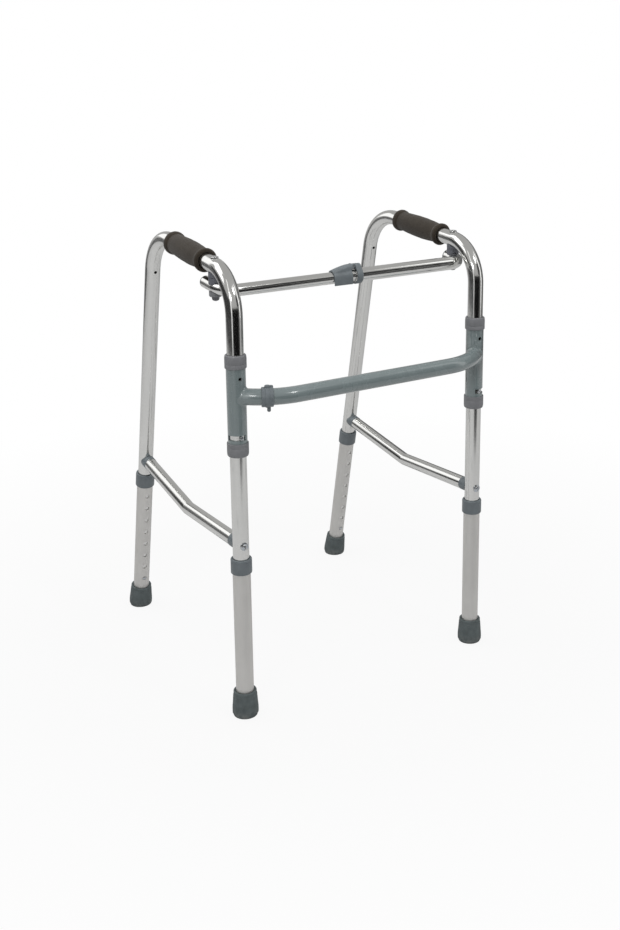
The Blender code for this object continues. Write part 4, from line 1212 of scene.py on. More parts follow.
@dataclass
class HeightLeg:
    """A height leg: the tube with its row of holes, the guide collar, the foot, the button."""

    name: str
    matrix: Matrix
    facing: int
    holes: int
    collar: Span
    lean: float = 0.0
    leg_r: float = 0.0140
    floor_t: float = 0.0100
    hole_r: float = 0.0037
    hole_ring: float = 0.0055
    hole_drill: float = 1.3
    hole_pitch: float = 0.0254
    button_s: float = 0.0644
    collar_r: float = 0.0165
    collar_lip: float = 0.0050
    foot_h: float = 0.0419
    foot_top_r: float = 0.0183
    foot_max_r: float = 0.0210
    foot_base_r: float = 0.0190
    sole_rings: tuple[float, ...] = (0.0050, 0.0090, 0.0130)
    sole_groove: float = 0.0016
    sole_depth: float = 0.0012
    button_r: float = 0.0034
    button_proud: float = 0.0016
    button_flange: tuple[float, float, float] = (0.0045, 0.0098, 0.0012)

    @property
    def top(self) -> float:
        """Upper end of the leg tube, inside its collar."""
        return self.collar[1] - self.collar_lip

    def fit(self, piece: bpy.types.Object, part: str, finish: Finish) -> bpy.types.Object:
        """Put a finished piece of this leg in the walker."""
        return hand_over(piece, f"{self.name}_{part}", finish, self.matrix)

    def build(self) -> None:
        """Make every piece of the leg."""
        self.tube()
        self.guide_collar()
        self.foot()
        self.button()
        spring = frame["nodes"][f"{self.name}_button_spring"]
        spring.data.materials.clear()
        spring.data.materials.append(SPRING.material())

    def tube(self) -> None:
        """Leg tube, with rings of faces either side of each hole so that they stay round."""
        base = self.floor_t + SEAT
        heights = [self.button_s + self.hole_pitch * index for index in range(self.holes)]
        path = [Vector((0, 0, base)), Vector((0, 0, self.top))]
        for height in heights:
            path = with_rings(path, Vector((0, 0, height)), self.hole_ring)
        tube = Workpiece("tube").sweep(path, self.leg_r, self.leg_r - STANCE.bore_r)
        holes = Workpiece("holes")
        for height in heights:
            holes.bar((0, 0, height), (0, self.facing * self.leg_r * self.hole_drill, height),
                      self.hole_r)
        tube = cut(tube.object(), holes)
        mark_run(tube, path)
        self.fit(tube, "height_leg", SATIN)

    def guide_collar(self) -> None:
        """Moulded collar: a skirt round the leg, a lip on the tube, and a witness line."""
        low, high = self.collar
        bore = STANCE.bore_r
        skirt = self.leg_r + SEAT
        line = high - self.collar_lip
        outline = [(self.collar_r - 0.0007, high, ROUND), (self.collar_r, high - 0.0022, 0.0008),
                   (self.collar_r, line + WITNESS), (self.collar_r - CRISP, line),
                   (self.collar_r, line - WITNESS), (self.collar_r, low, 0.0014),
                   (skirt, low, EDGE), (skirt, self.top + SEAT), (bore, self.top + SEAT),
                   (bore, high, EASED)]
        self.fit(Workpiece("collar").turn(outline).object(), "leg_collar", BLUE_GREY)

    def foot(self) -> None:
        """Rubber foot with a rolled mouth, a step below it and rings in the level sole."""
        below = math.sin(self.lean) * self.foot_max_r + 0.002
        bore = self.leg_r + SEAT
        top = self.foot_h
        outline = [(0, self.floor_t), (bore, self.floor_t), (bore, top - 0.0008),
                   (bore + 0.0007, top, EASED), (self.foot_top_r, top, 0.0013),
                   (self.foot_top_r, top - 0.0060),
                   (self.foot_top_r + 0.0006, top - 0.0066, 0.0005),
                   (self.foot_top_r + 0.0016, top * 0.50), (self.foot_max_r, top * 0.24, 0.006),
                   (self.foot_max_r - 0.0004, top * 0.10), (self.foot_base_r, 0.0006),
                   (self.foot_base_r - below * 0.2, -below), (0, -below)]
        foot = Workpiece("rubber").turn(outline).object()
        level = Matrix.Rotation(-self.lean, 4, "X")
        size = self.foot_max_r * 4
        ground = Workpiece("ground").block(level @ Vector((0, 0, -size / 2)), (size,) * 3,
                                           tilt=level)
        rings = Workpiece("rings")
        for inner in self.sole_rings:
            outer = inner + self.sole_groove
            rings.turn([(inner, self.sole_depth), (inner, -0.001), (outer, -0.001),
                        (outer, self.sole_depth)], level)
        self.fit(cut(foot, ground, rings), "foot", RUBBER)

    def button(self) -> None:
        """Domed snap button with its inner flange."""
        tip = self.leg_r + self.button_proud
        flange_r, flange, flange_t = self.button_flange
        r = self.button_r
        outline = [(0, tip), (r * 0.42, tip - 0.0002), (r * 0.76, tip - 0.0008),
                   (r, tip - 0.0019, 0.0005), (r, flange), (flange_r, flange, CRISP),
                   (flange_r, flange - flange_t), (0, flange - flange_t)]
        foot = Vector((0, 0, self.button_s))
        out = Vector((0, self.facing, 0))
        button = Workpiece("button").turn(outline, along(foot, foot + out), steps=SMALL_SIDES)
        self.fit(button.object(), "snap_button", ZINC)


@dataclass
class FrontBrace:
    """The painted H-brace with its welds, the collars on its sleeves and the clip ring."""

    sleeve_r: float = 0.01475
    sleeve_z: Span = (0.4375, 0.5850)
    collar_r: float = 0.0165
    top_collar: Span = (0.5694, 0.5900)
    low_collar: Span = (0.4537, 0.4325)
    collar_line: float = 0.32
    detent_z: float = 0.5546
    detent_r: float = 0.0031
    slot_z: float = 0.4631
    slot_h: float = 0.0078
    slot_lead: float = math.radians(28.0)
    slot_reach: float = math.radians(96.0)
    slot_steps: int = 48
    bar_z: float = 0.5255
    bar_r: float = 0.0127
    bar_wall: float = 0.0015
    bow: float = 0.0400
    end_r: float = 0.1100
    bend_steps: int = 22
    halvings: int = 24
    fillet: float = 0.0042
    fillet_steps: int = 7
    fillet_sides: int = 72
    fillet_root: float = 0.12
    clip_at: float = 0.0490
    clip_width: float = 0.0180
    clip_shift: float = 0.0020
    clip_band: float = 0.0066
    clip_wall: float = 0.0021
    clip_rib: float = 0.0009
    knob_r: float = 0.0044
    knob_shift: float = 0.0056
    knob_back: float = 0.0052
    knob_rise: float = 0.0031
    clip_pin_r: float = 0.0028
    clip_pin_drop: float = 0.0080

    @property
    def spacing(self) -> float:
        """Sleeve axis from the middle plane."""
        return joint_place("right_frame_fold").x

    @property
    def origin(self) -> Matrix:
        """The brace's own frame, its sleeves' axes at y 0, in the walker's."""
        return Matrix.Translation((0.0, joint_place("right_frame_fold").y, 0.0))

    @property
    def sweep_angle(self) -> float:
        """Angle through which each end of the crossbar bends."""
        return math.acos((self.end_r - self.bow) / self.end_r)

    def bar_point(self, side: Side, angle: float) -> Vector:
        """Point of the crossbar's axis.

        Args:
            side: which end.
            angle: how far round the bend there.

        Returns:
            The point.
        """
        start = self.spacing - self.end_r * math.sin(self.sweep_angle)
        return Vector((side.value * (start + self.end_r * math.sin(angle)),
                       self.end_r * (1 - math.cos(angle)) - self.bow, self.bar_z))

    def bar_path(self) -> list[Vector]:
        """Axis of the crossbar.

        Returns:
            Points from sleeve axis to sleeve axis.
        """
        steps = self.bend_steps
        angles = [self.sweep_angle * i / steps for i in range(steps + 1)]
        left = [self.bar_point(Side.LEFT, angle) for angle in reversed(angles)]
        return left + [self.bar_point(Side.RIGHT, angle) for angle in angles]

    def junction(self, side: Side, angle: float) -> float:
        """Bend at which the crossbar's skin meets the sleeve's.

        Args:
            side: which end.
            angle: how far round the bar from its top.

        Returns:
            The bend's angle, found by halving.
        """
        low, high = 0.0, self.sweep_angle
        for _ in range(self.halvings):
            middle = (low + high) / 2
            point = self.skin_point(side, middle, angle)
            reach = math.hypot(point.x - side.value * self.spacing, point.y)
            low, high = (middle, high) if reach > self.sleeve_r else (low, middle)
        return (low + high) / 2

    def skin_point(self, side: Side, bend: float, angle: float) -> Vector:
        """Point of the crossbar's skin.

        Args:
            side: which end.
            bend: how far round the bend there.
            angle: how far round the bar, 0 on top and 90 degrees on its front.

        Returns:
            The point.
        """
        out = Vector((side.value * math.sin(bend), -math.cos(bend), 0.0))
        return (self.bar_point(side, bend)
                + (out * math.sin(angle) + Vector((0, 0, math.cos(angle)))) * self.bar_r)

    def build(self) -> None:
        """Make every piece of the front brace."""
        self.frame()
        for side in Side:
            self.collars(side)
        self.clip()

    def frame(self) -> None:
        """Sleeves and crossbar as one welded, hollow frame, slotted and drilled."""
        bar = self.bar_path()
        frame_piece = Workpiece("brace").sweep(bar, self.bar_r).object()
        low, high = self.sleeve_z
        sleeves = [Workpiece("sleeve").bar((side.value * self.spacing, 0, low),
                                           (side.value * self.spacing, 0, high),
                                           self.sleeve_r, sides=SLEEVE_SIDES) for side in Side]
        frame_piece = weld(frame_piece, *sleeves, *(self.weld_fillet(side) for side in Side))
        tools = []
        for side in Side:
            x = side.value * self.spacing
            tools += [Workpiece("bore").bar((x, 0, low - OVER), (x, 0, high + OVER),
                                            STANCE.bore_r, sides=SLEEVE_SIDES),
                      Workpiece("detent").bar((x, 0, self.detent_z), (x, -DRILL, self.detent_z),
                                              self.detent_r),
                      self.slot(side)]
        frame_piece = cut(frame_piece, *tools,
                          Workpiece("bar_bore").sweep(bar, self.bar_r - self.bar_wall))
        mark_run(frame_piece, bar)
        hand_over(frame_piece, "h_brace", PAINT, self.origin)

    def fillet_run(self, side: Side, angle: float) -> list[Vector]:
        """Section of a weld.

        Args:
            side: which weld.
            angle: how far round the crossbar from its top.

        Returns:
            Points from inside the crossbar, over its skin and the sleeve's, to inside the sleeve.
        """
        axis = Vector((side.value * self.spacing, 0.0, self.bar_z))
        bend = self.junction(side, angle)
        meet = self.skin_point(side, bend, angle)
        start = self.skin_point(side, bend - self.fillet / self.end_r, angle)
        entry = (self.bar_point(side, self.sweep_angle)
                 - self.bar_point(side, self.sweep_angle * 0.8))
        middle = math.atan2(-entry.y, -entry.x)
        turn = math.remainder(math.atan2(meet.y, meet.x - axis.x) - middle, 2 * math.pi)
        flat = Vector((turn * self.sleeve_r, meet.z - self.bar_z))
        flat *= 1 + self.fillet / flat.length
        turn = middle + flat.x / self.sleeve_r
        end = axis + Vector((math.cos(turn) * self.sleeve_r, math.sin(turn) * self.sleeve_r,
                             flat.y))
        curve = [start.lerp(meet, t).lerp(meet.lerp(end, t), t)
                 for t in (i / self.fillet_steps for i in range(self.fillet_steps + 1))]
        inward = (end - axis) * Vector((1, 1, 0))
        return [start.lerp(self.bar_point(side, bend - self.fillet / self.end_r),
                           self.fillet_root), *curve, end - inward * self.fillet_root]

    def weld_fillet(self, side: Side) -> Workpiece:
        """Smooth fillet that the weld leaves under the paint, between crossbar and sleeve.

        Args:
            side: which sleeve the crossbar runs into.

        Returns:
            The fillet, closed inside both tubes.
        """
        runs = [self.fillet_run(side, 2 * math.pi * i / self.fillet_sides)
                for i in range(self.fillet_sides)]
        return Workpiece("fillet").loft([list(ring) for ring in zip(*runs)])

    def slot(self, side: Side) -> Workpiece:
        """Slot that the stop screw travels in as the side folds inwards.

        Args:
            side: which sleeve it is in.

        Returns:
            The solid that cuts it.
        """
        inner, outer = STANCE.tube_r - STANCE.tube_wall, self.sleeve_r * 1.2
        low, high = self.slot_z - self.slot_h / 2, self.slot_z + self.slot_h / 2
        spare = bmesh.new()
        start = Matrix.Rotation(-side.value * self.slot_lead, 3, "Z")
        corners = ((inner, low), (outer, low), (outer, high), (inner, high))
        face = spare.faces.new([spare.verts.new(start @ Vector((0, -r, z))) for r, z in corners])
        bmesh.ops.spin(spare, geom=[face], cent=(0, 0, 0), axis=(0, 0, 1),
                       steps=self.slot_steps,
                       angle=side.value * (self.slot_lead + self.slot_reach),
                       use_duplicate=False)
        return Workpiece("slot").take(spare, Matrix.Translation((side.value * self.spacing, 0, 0)))

    def collars(self, side: Side) -> None:
        """Moulded collars on both ends of a sleeve: skirt outside, lip on the side tube.

        Args:
            side: which sleeve.
        """
        matrix = self.origin @ Matrix.Translation((side.value * self.spacing, 0, 0))
        skirt = self.sleeve_r + SEAT
        for place, ends, seat in (("top", self.top_collar, self.sleeve_z[1]),
                                  ("bottom", self.low_collar, self.sleeve_z[0])):
            mouth, lip = ends
            up = 1 if lip > mouth else -1
            line = mouth + (lip - mouth) * self.collar_line
            outline = [(self.collar_r - 0.0009, lip, 0.0016),
                       (self.collar_r, lip - up * 0.0042, 0.002),
                       (self.collar_r, line + up * WITNESS), (self.collar_r - 0.00025, line),
                       (self.collar_r, line - up * WITNESS), (self.collar_r, mouth, 0.0009),
                       (skirt, mouth), (skirt, seat + up * SEAT),
                       (STANCE.bore_r, seat + up * SEAT), (STANCE.bore_r, lip, 0.0007)]
            hand_over(Workpiece("collar").turn(outline).object(),
                      f"{side.label}_sleeve_{place}_collar", WARM_GREY, matrix)

    def clip(self) -> None:
        """Clip ring with a raised middle band, two round knobs on top, and the pin below it."""
        bend = self.sweep_angle - self.clip_at / self.end_r
        centre = self.bar_point(Side.LEFT, bend)
        run = Vector((math.cos(bend), -math.sin(bend), 0))
        outer = self.bar_r + SEAT + self.clip_wall
        rib = outer + self.clip_rib
        half, band = self.clip_width / 2, self.clip_band / 2
        inner = self.bar_r - self.bar_wall
        outline = [(inner, -half), (inner, half), (outer, half, ROUND), (outer, band, EDGE),
                   (rib, band - CRISP, EASED), (rib, CRISP - band, EASED), (outer, -band, EDGE),
                   (outer, -half, ROUND)]
        middle = centre - run * self.clip_shift
        ring = Workpiece("clip_ring").turn(outline, along(middle, middle + run))
        ring = cut(ring.object(), Workpiece("bar").sweep(self.bar_path(), self.bar_r + SEAT))
        back = Vector((-run.y, run.x, 0))
        foot = Vector((0, 0, outer - self.clip_wall / 2))
        knobs = ((centre - run * self.clip_shift, self.knob_r, self.knob_rise),
                 (centre + run * (self.knob_shift - self.clip_shift) + back * self.knob_back,
                  self.knob_r * 0.8, self.knob_rise * 0.35))
        ring = weld(ring, *(Workpiece("knob").bar(
            spot + foot * 0.9, spot + Vector((0, 0, outer + rise)), radius, soft=0.0014)
            for spot, radius, rise in knobs))
        pin_end = centre - Vector((0, 0, outer + self.clip_pin_drop))
        ring = cut(ring, Workpiece("hole").bar(centre - Vector((0, 0, outer * 0.8)), pin_end,
                                               self.clip_pin_r + SEAT))
        hand_over(ring, "crossbar_clip_ring", BLUE_GREY, self.origin)
        height = outer + self.clip_pin_drop - self.bar_r - SEAT * 2
        r = self.clip_pin_r
        outline = [(0, height), (r, height), (r, 0.0004, 0.0016), (r - 0.0016, 0.0), (0, 0.0)]
        pin = Workpiece("clip_pin").turn(outline, Matrix.Translation(pin_end), steps=SMALL_SIDES)
        hand_over(pin.object(), "crossbar_clip_pin", BLUE_GREY, self.origin)


@dataclass
class TopBar:
    """The telescoping bar between the handles: both tubes, their plugs and pivot washers."""

    outer_r: float = 0.0110
    wall: float = 0.0012
    bend_r: float = 0.0270
    offset: float = 0.0273
    left_tail: float = 0.0325
    right_tail: float = 0.0132
    mouth_x: float = 0.0070
    inner_end_x: float = 0.0500
    plug_t: float = 0.0025
    plug_spigot: float = 0.0070
    spacer_r: float = 0.0102
    spacer_wrap: float = 0.0045
    under_r: float = 0.0098
    under_wrap: float = 0.0036
    hole_r: float = 0.0034
    hole_ring: float = 0.0050
    bolt_r: float = 0.0030
    nut_r: float = 0.0060
    nut_flats: float = 0.94
    nut_skirt: float = 0.0018

    @property
    def inner_r(self) -> float:
        """Radius of the tube that slides inside."""
        return self.outer_r - self.wall - SLIP

    def pivot(self, side: Side) -> Vector:
        """Where a pivot crosses the bar's axis."""
        left = joint_place("left_bar_turn")
        return Vector((-side.value * left.x, left.y, left.z + STANCE.handle_slope * self.offset))

    def radius(self, side: Side) -> float:
        """Outer radius of one half of the bar."""
        return self.outer_r if side is Side.RIGHT else self.inner_r

    def path(self, side: Side) -> list[Vector]:
        """Axis of one half of the bar.

        Args:
            side: which half.

        Returns:
            Points from inside the latch to its tail, which rises with the handle.
        """
        pivot = self.pivot(side)
        run = Vector((0, 1, STANCE.handle_slope))
        corner = pivot - run * self.offset
        end_x, tail = ((self.mouth_x, self.right_tail) if side is Side.RIGHT
                       else (self.inner_end_x, self.left_tail))
        return bent([(end_x, corner.y, corner.z), corner, pivot + run * tail], [self.bend_r])

    def build(self) -> None:
        """Make both halves."""
        for side in Side:
            self.half(side)
            self.washers(side)
            self.nut(side)

    def half(self, side: Side) -> None:
        """One bent tube, drilled for its pivot, and the plug in its tail.

        Args:
            side: which half.
        """
        pivot = self.pivot(side)
        path = self.path(side)
        radius = self.radius(side)
        ringed = with_rings(path, pivot, self.hole_ring)
        tube = Workpiece("bar").sweep(ringed, radius, self.wall).object()
        through = Vector((0, 0, DRILL))
        tube = cut(tube, Workpiece("drill").bar(pivot - through, pivot + through, self.hole_r))
        mark_run(tube, path)
        hand_over(tube, f"{side.label}_half_bar", BRIGHT)
        spigot = radius - self.wall - SEAT
        outline = [(0, SEAT + self.plug_t), (radius, SEAT + self.plug_t, 0.0013), (radius, SEAT),
                   (spigot, SEAT), (spigot, -self.plug_spigot, 0.0008), (0, -self.plug_spigot)]
        end = path[-1]
        plug = Workpiece("plug").turn(outline, along(end, end * 2 - path[-2]))
        hand_over(plug.object(), f"{side.label}_bar_end_plug", BLUE_GREY)

    def washers(self, side: Side) -> None:
        """Saddle spacer above the bar and the dished washer below it.

        Args:
            side: which half of the bar they clamp.
        """
        pivot = self.pivot(side)
        radius = self.radius(side)
        here = Matrix.Translation((pivot.x, pivot.y, 0))
        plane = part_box(f"{side.label}_pivot_lower_washer")[1].z
        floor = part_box(f"{side.label}_pivot_under_washer")[0].z
        saddle = pivot.z + radius - self.spacer_wrap
        cradle = pivot.z - radius + self.under_wrap
        pieces = (
            ("lower", SPACER, [(0, plane), (self.spacer_r, plane, EDGE),
                               (self.spacer_r, saddle), (0, saddle)]),
            ("under", WARM_GREY, [(0, floor), (self.under_r - 0.0008, floor, EASED),
                                  (self.under_r, floor + 0.0016, EASED),
                                  (self.under_r, cradle), (0, cradle)]))
        for place, finish, outline in pieces:
            washer = Workpiece("washer").turn(outline, here).object()
            bore = Workpiece("bore").bar((pivot.x, pivot.y, pivot.z - 0.03),
                                         (pivot.x, pivot.y, pivot.z + 0.03), self.hole_r)
            skin = Workpiece("skin").sweep(self.path(side), radius + SEAT)
            hand_over(cut(washer, skin, bore), f"{side.label}_pivot_{place}_washer", finish)

    def nut(self, side: Side) -> None:
        """Cap nut below the bar: six flats, a flange above them and a round dome.

        Args:
            side: which half of the bar it clamps.
        """
        node = f"{side.label}_pivot_nut"
        low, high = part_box(node)
        height = high.z - low.z
        here = Matrix.Translation(((low.x + high.x) / 2, (low.y + high.y) / 2, low.z))
        cap = self.nut_r * self.nut_flats
        wide, above = self.nut_r * 1.2, height * 1.1
        dome = [(0, 0), (cap * 0.45, 0.0002), (cap * 0.76, height * 0.14),
                (cap * 0.95, height * 0.38), (wide, height * 0.55), (wide, above), (0, above)]
        spare = bmesh.new()
        bmesh.ops.create_cone(spare, cap_ends=True, segments=6, radius1=cap, radius2=cap,
                              depth=height, matrix=Matrix.Translation((0, 0, height / 2)))
        nut = machined(Workpiece("nut").take(spare, here).object(), "INTERSECT",
                       Workpiece("dome").turn(dome, here, steps=SMALL_SIDES).object())
        flange = Workpiece("flange").turn([(0, height), (self.nut_r, height, CRISP),
                                           (self.nut_r, height - self.nut_skirt, EDGE),
                                           (0, height - self.nut_skirt * 1.3)], here,
                                          steps=SMALL_SIDES)
        middle = here.translation
        bore = Workpiece("bore").bar(middle + Vector((0, 0, height * 0.25)),
                                     middle + Vector((0, 0, height * 1.2)), self.bolt_r + SEAT)
        hand_over(cut(weld(nut, flange), bore), node, NUT)


@dataclass
class Latch:
    """Latch at the middle of the top bar: collar, lever and the pin they share."""

    bar: TopBar
    collar_x: Span = (0.0068, 0.0172)
    collar_wall: float = 0.0027
    collar_sides: int = 96
    lobe_r: float = 0.0062
    lobe_rise: float = 0.0130
    tip_x: float = -0.0345
    heel_x: float = -0.0018
    tip_size: Span = (0.0113, 0.0112)
    heel_size: Span = (0.0124, 0.0188)
    ridge: float = 0.0082
    ridge_power: float = 5.0
    crease_power: int = 16
    back_power: float = 1.55
    lever_rows: int = 18
    lever_sides: int = 48
    shell: float = 0.0022
    skirt: float = 0.0110
    cheek_r: float = 0.0031
    width: float = 0.0124
    tongue: float = 0.0050
    pin_r: float = 0.0013

    @property
    def hinge(self) -> Vector:
        """Middle of the hinge pin."""
        return joint_place("latch_lift")

    @property
    def axis(self) -> Vector:
        """The bar's axis below the hinge pin."""
        return Vector((self.hinge.x, self.hinge.y, joint_place("left_bar_turn").z))

    def at(self, x: float, y: float, z: float) -> Vector:
        """Point at an x of the walker, and y and z from the bar's axis."""
        return Vector((x, self.axis.y + y, self.axis.z + z))

    def build(self) -> None:
        """Make the latch's pieces."""
        self.collar()
        self.lever()
        half = Vector((0, self.width / 2 + SEAT, 0))
        pin = Workpiece("latch_pin").bar(self.hinge - half, self.hinge + half, self.pin_r,
                                         soft=CRISP)
        hand_over(pin.object(), "latch_hinge_pin", ZINC)

    def pin_hole(self) -> Workpiece:
        """Hole of the hinge pin.

        Returns:
            The bar that cuts it.
        """
        reach = Vector((0, self.width, 0))
        return Workpiece("pin_hole").bar(self.hinge - reach, self.hinge + reach,
                                         self.pin_r + SEAT)

    def collar_point(self, x: float, angle: float) -> Vector:
        """Point of the collar's egg-shaped outline, a ring drawn tight round a lobe on top.

        Args:
            x: place along the bar.
            angle: how far round it.

        Returns:
            The point.
        """
        ring_r = self.bar.outer_r + self.collar_wall
        lobe = self.lobe_rise * math.sin(angle) + self.lobe_r > ring_r
        rise, radius = (self.lobe_rise, self.lobe_r) if lobe else (0.0, ring_r)
        return self.at(x, radius * math.cos(angle), rise + radius * math.sin(angle))

    def collar(self) -> None:
        """Collar on the mouth of the outer tube, with the tongue that holds the pin."""
        start, end = self.collar_x
        inner = self.bar.outer_r + SEAT
        turns = [2 * math.pi * i / self.collar_sides for i in range(self.collar_sides)]
        collar = Workpiece("collar").loft([[self.collar_point(x, turn) for turn in turns]
                                           for x in (start, end)], soft=0.0010).object()
        low, high = inner + SEAT, self.hinge.z + self.cheek_r - self.axis.z
        reach = (start + end) / 2
        tongue = Workpiece("tongue").block(
            self.at((self.hinge.x + reach) / 2, 0, (low + high) / 2),
            (reach - self.hinge.x, self.tongue, high - low), EDGE)
        half = Vector((0, self.tongue / 2, 0))
        eye = Workpiece("eye").bar(self.hinge - half, self.hinge + half, self.cheek_r, soft=CRISP)
        bore = Workpiece("bore").bar(self.at(start - OVER, 0, 0), self.at(end + OVER, 0, 0),
                                     inner, sides=TUBE_SIDES)
        hand_over(cut(weld(collar, tongue, eye), bore, self.pin_hole()), "latch_collar", BLUE_GREY)

    def lever_reach(self, angle: float, half: float, top: float) -> float:
        """Distance from the bar's axis to the lever's skin, a ring with a flat-sided ridge.

        Args:
            angle: how far round the lever's back, 90 degrees on top.
            half: the ring's radius.
            top: the ridge's height.

        Returns:
            The distance.
        """
        across, up = abs(math.cos(angle)), math.sin(angle)
        power, crease = self.ridge_power, self.crease_power
        ridge = ((across / self.ridge) ** power + (up / top) ** power) ** (-1 / power)
        return (half ** crease + ridge ** crease) ** (1 / crease)

    def lever_section(self, x: float) -> list[Vector]:
        """Section of the lever, an upside-down U with a ridge that rises towards the heel.

        Args:
            x: place along the bar.

        Returns:
            Points round the section.
        """
        share = min(1.0, (x - self.tip_x) / (self.heel_x - self.tip_x))
        rise = 1 - (1 - share) ** self.back_power
        half = self.tip_size[0] + (self.heel_size[0] - self.tip_size[0]) * share
        top = self.tip_size[1] + (self.heel_size[1] - self.tip_size[1]) * rise
        inner = self.bar.inner_r + SEAT
        roof = max(inner, top - self.shell)
        arc = [math.pi * i / self.lever_sides for i in range(self.lever_sides + 1)]
        reaches = [self.lever_reach(a, half, top) for a in arc]
        outside = [self.at(x, -math.cos(a) * reach, math.sin(a) * reach)
                   for a, reach in zip(arc, reaches)]
        inside = [self.at(x, inner * math.cos(a),
                          inner * math.sin(a) + (roof - inner) * math.sin(a) ** 2) for a in arc]
        feet = [self.at(x, y, -self.skirt) for y in (-half, half, inner, -inner)]
        return [feet[0], *outside, *feet[1:3], *inside, feet[3]]

    def lever(self) -> None:
        """Lever that wraps the inner tube, thin at its tip and rising to cheeks on the pin."""
        rows, run = self.lever_rows, self.hinge.x - self.tip_x
        lever = Workpiece("lever").loft([self.lever_section(self.tip_x + run * i / rows)
                                         for i in range(rows + 1)], soft=0.0005).object()
        under = self.hinge.z - self.cheek_r - SEAT * 2
        heel = Workpiece("heel").block((self.heel_x + 0.01, self.hinge.y, under - 0.02),
                                       (0.02, 0.04, 0.04), EASED)
        half = Vector((0, self.width / 2, 0))
        cheeks = Workpiece("cheeks").bar(self.hinge - half, self.hinge + half, self.cheek_r,
                                         soft=EDGE)
        slot_end = self.hinge.x - self.cheek_r - SEAT
        slot = Workpiece("slot").block((slot_end + 0.01, self.hinge.y, self.hinge.z),
                                       (0.02, self.tongue + SEAT * 2, 0.01))
        lever = cut(weld(cut(lever, heel), cheeks), slot, self.pin_hole())
        hand_over(lever, "latch_lever", BLUE_GREY)


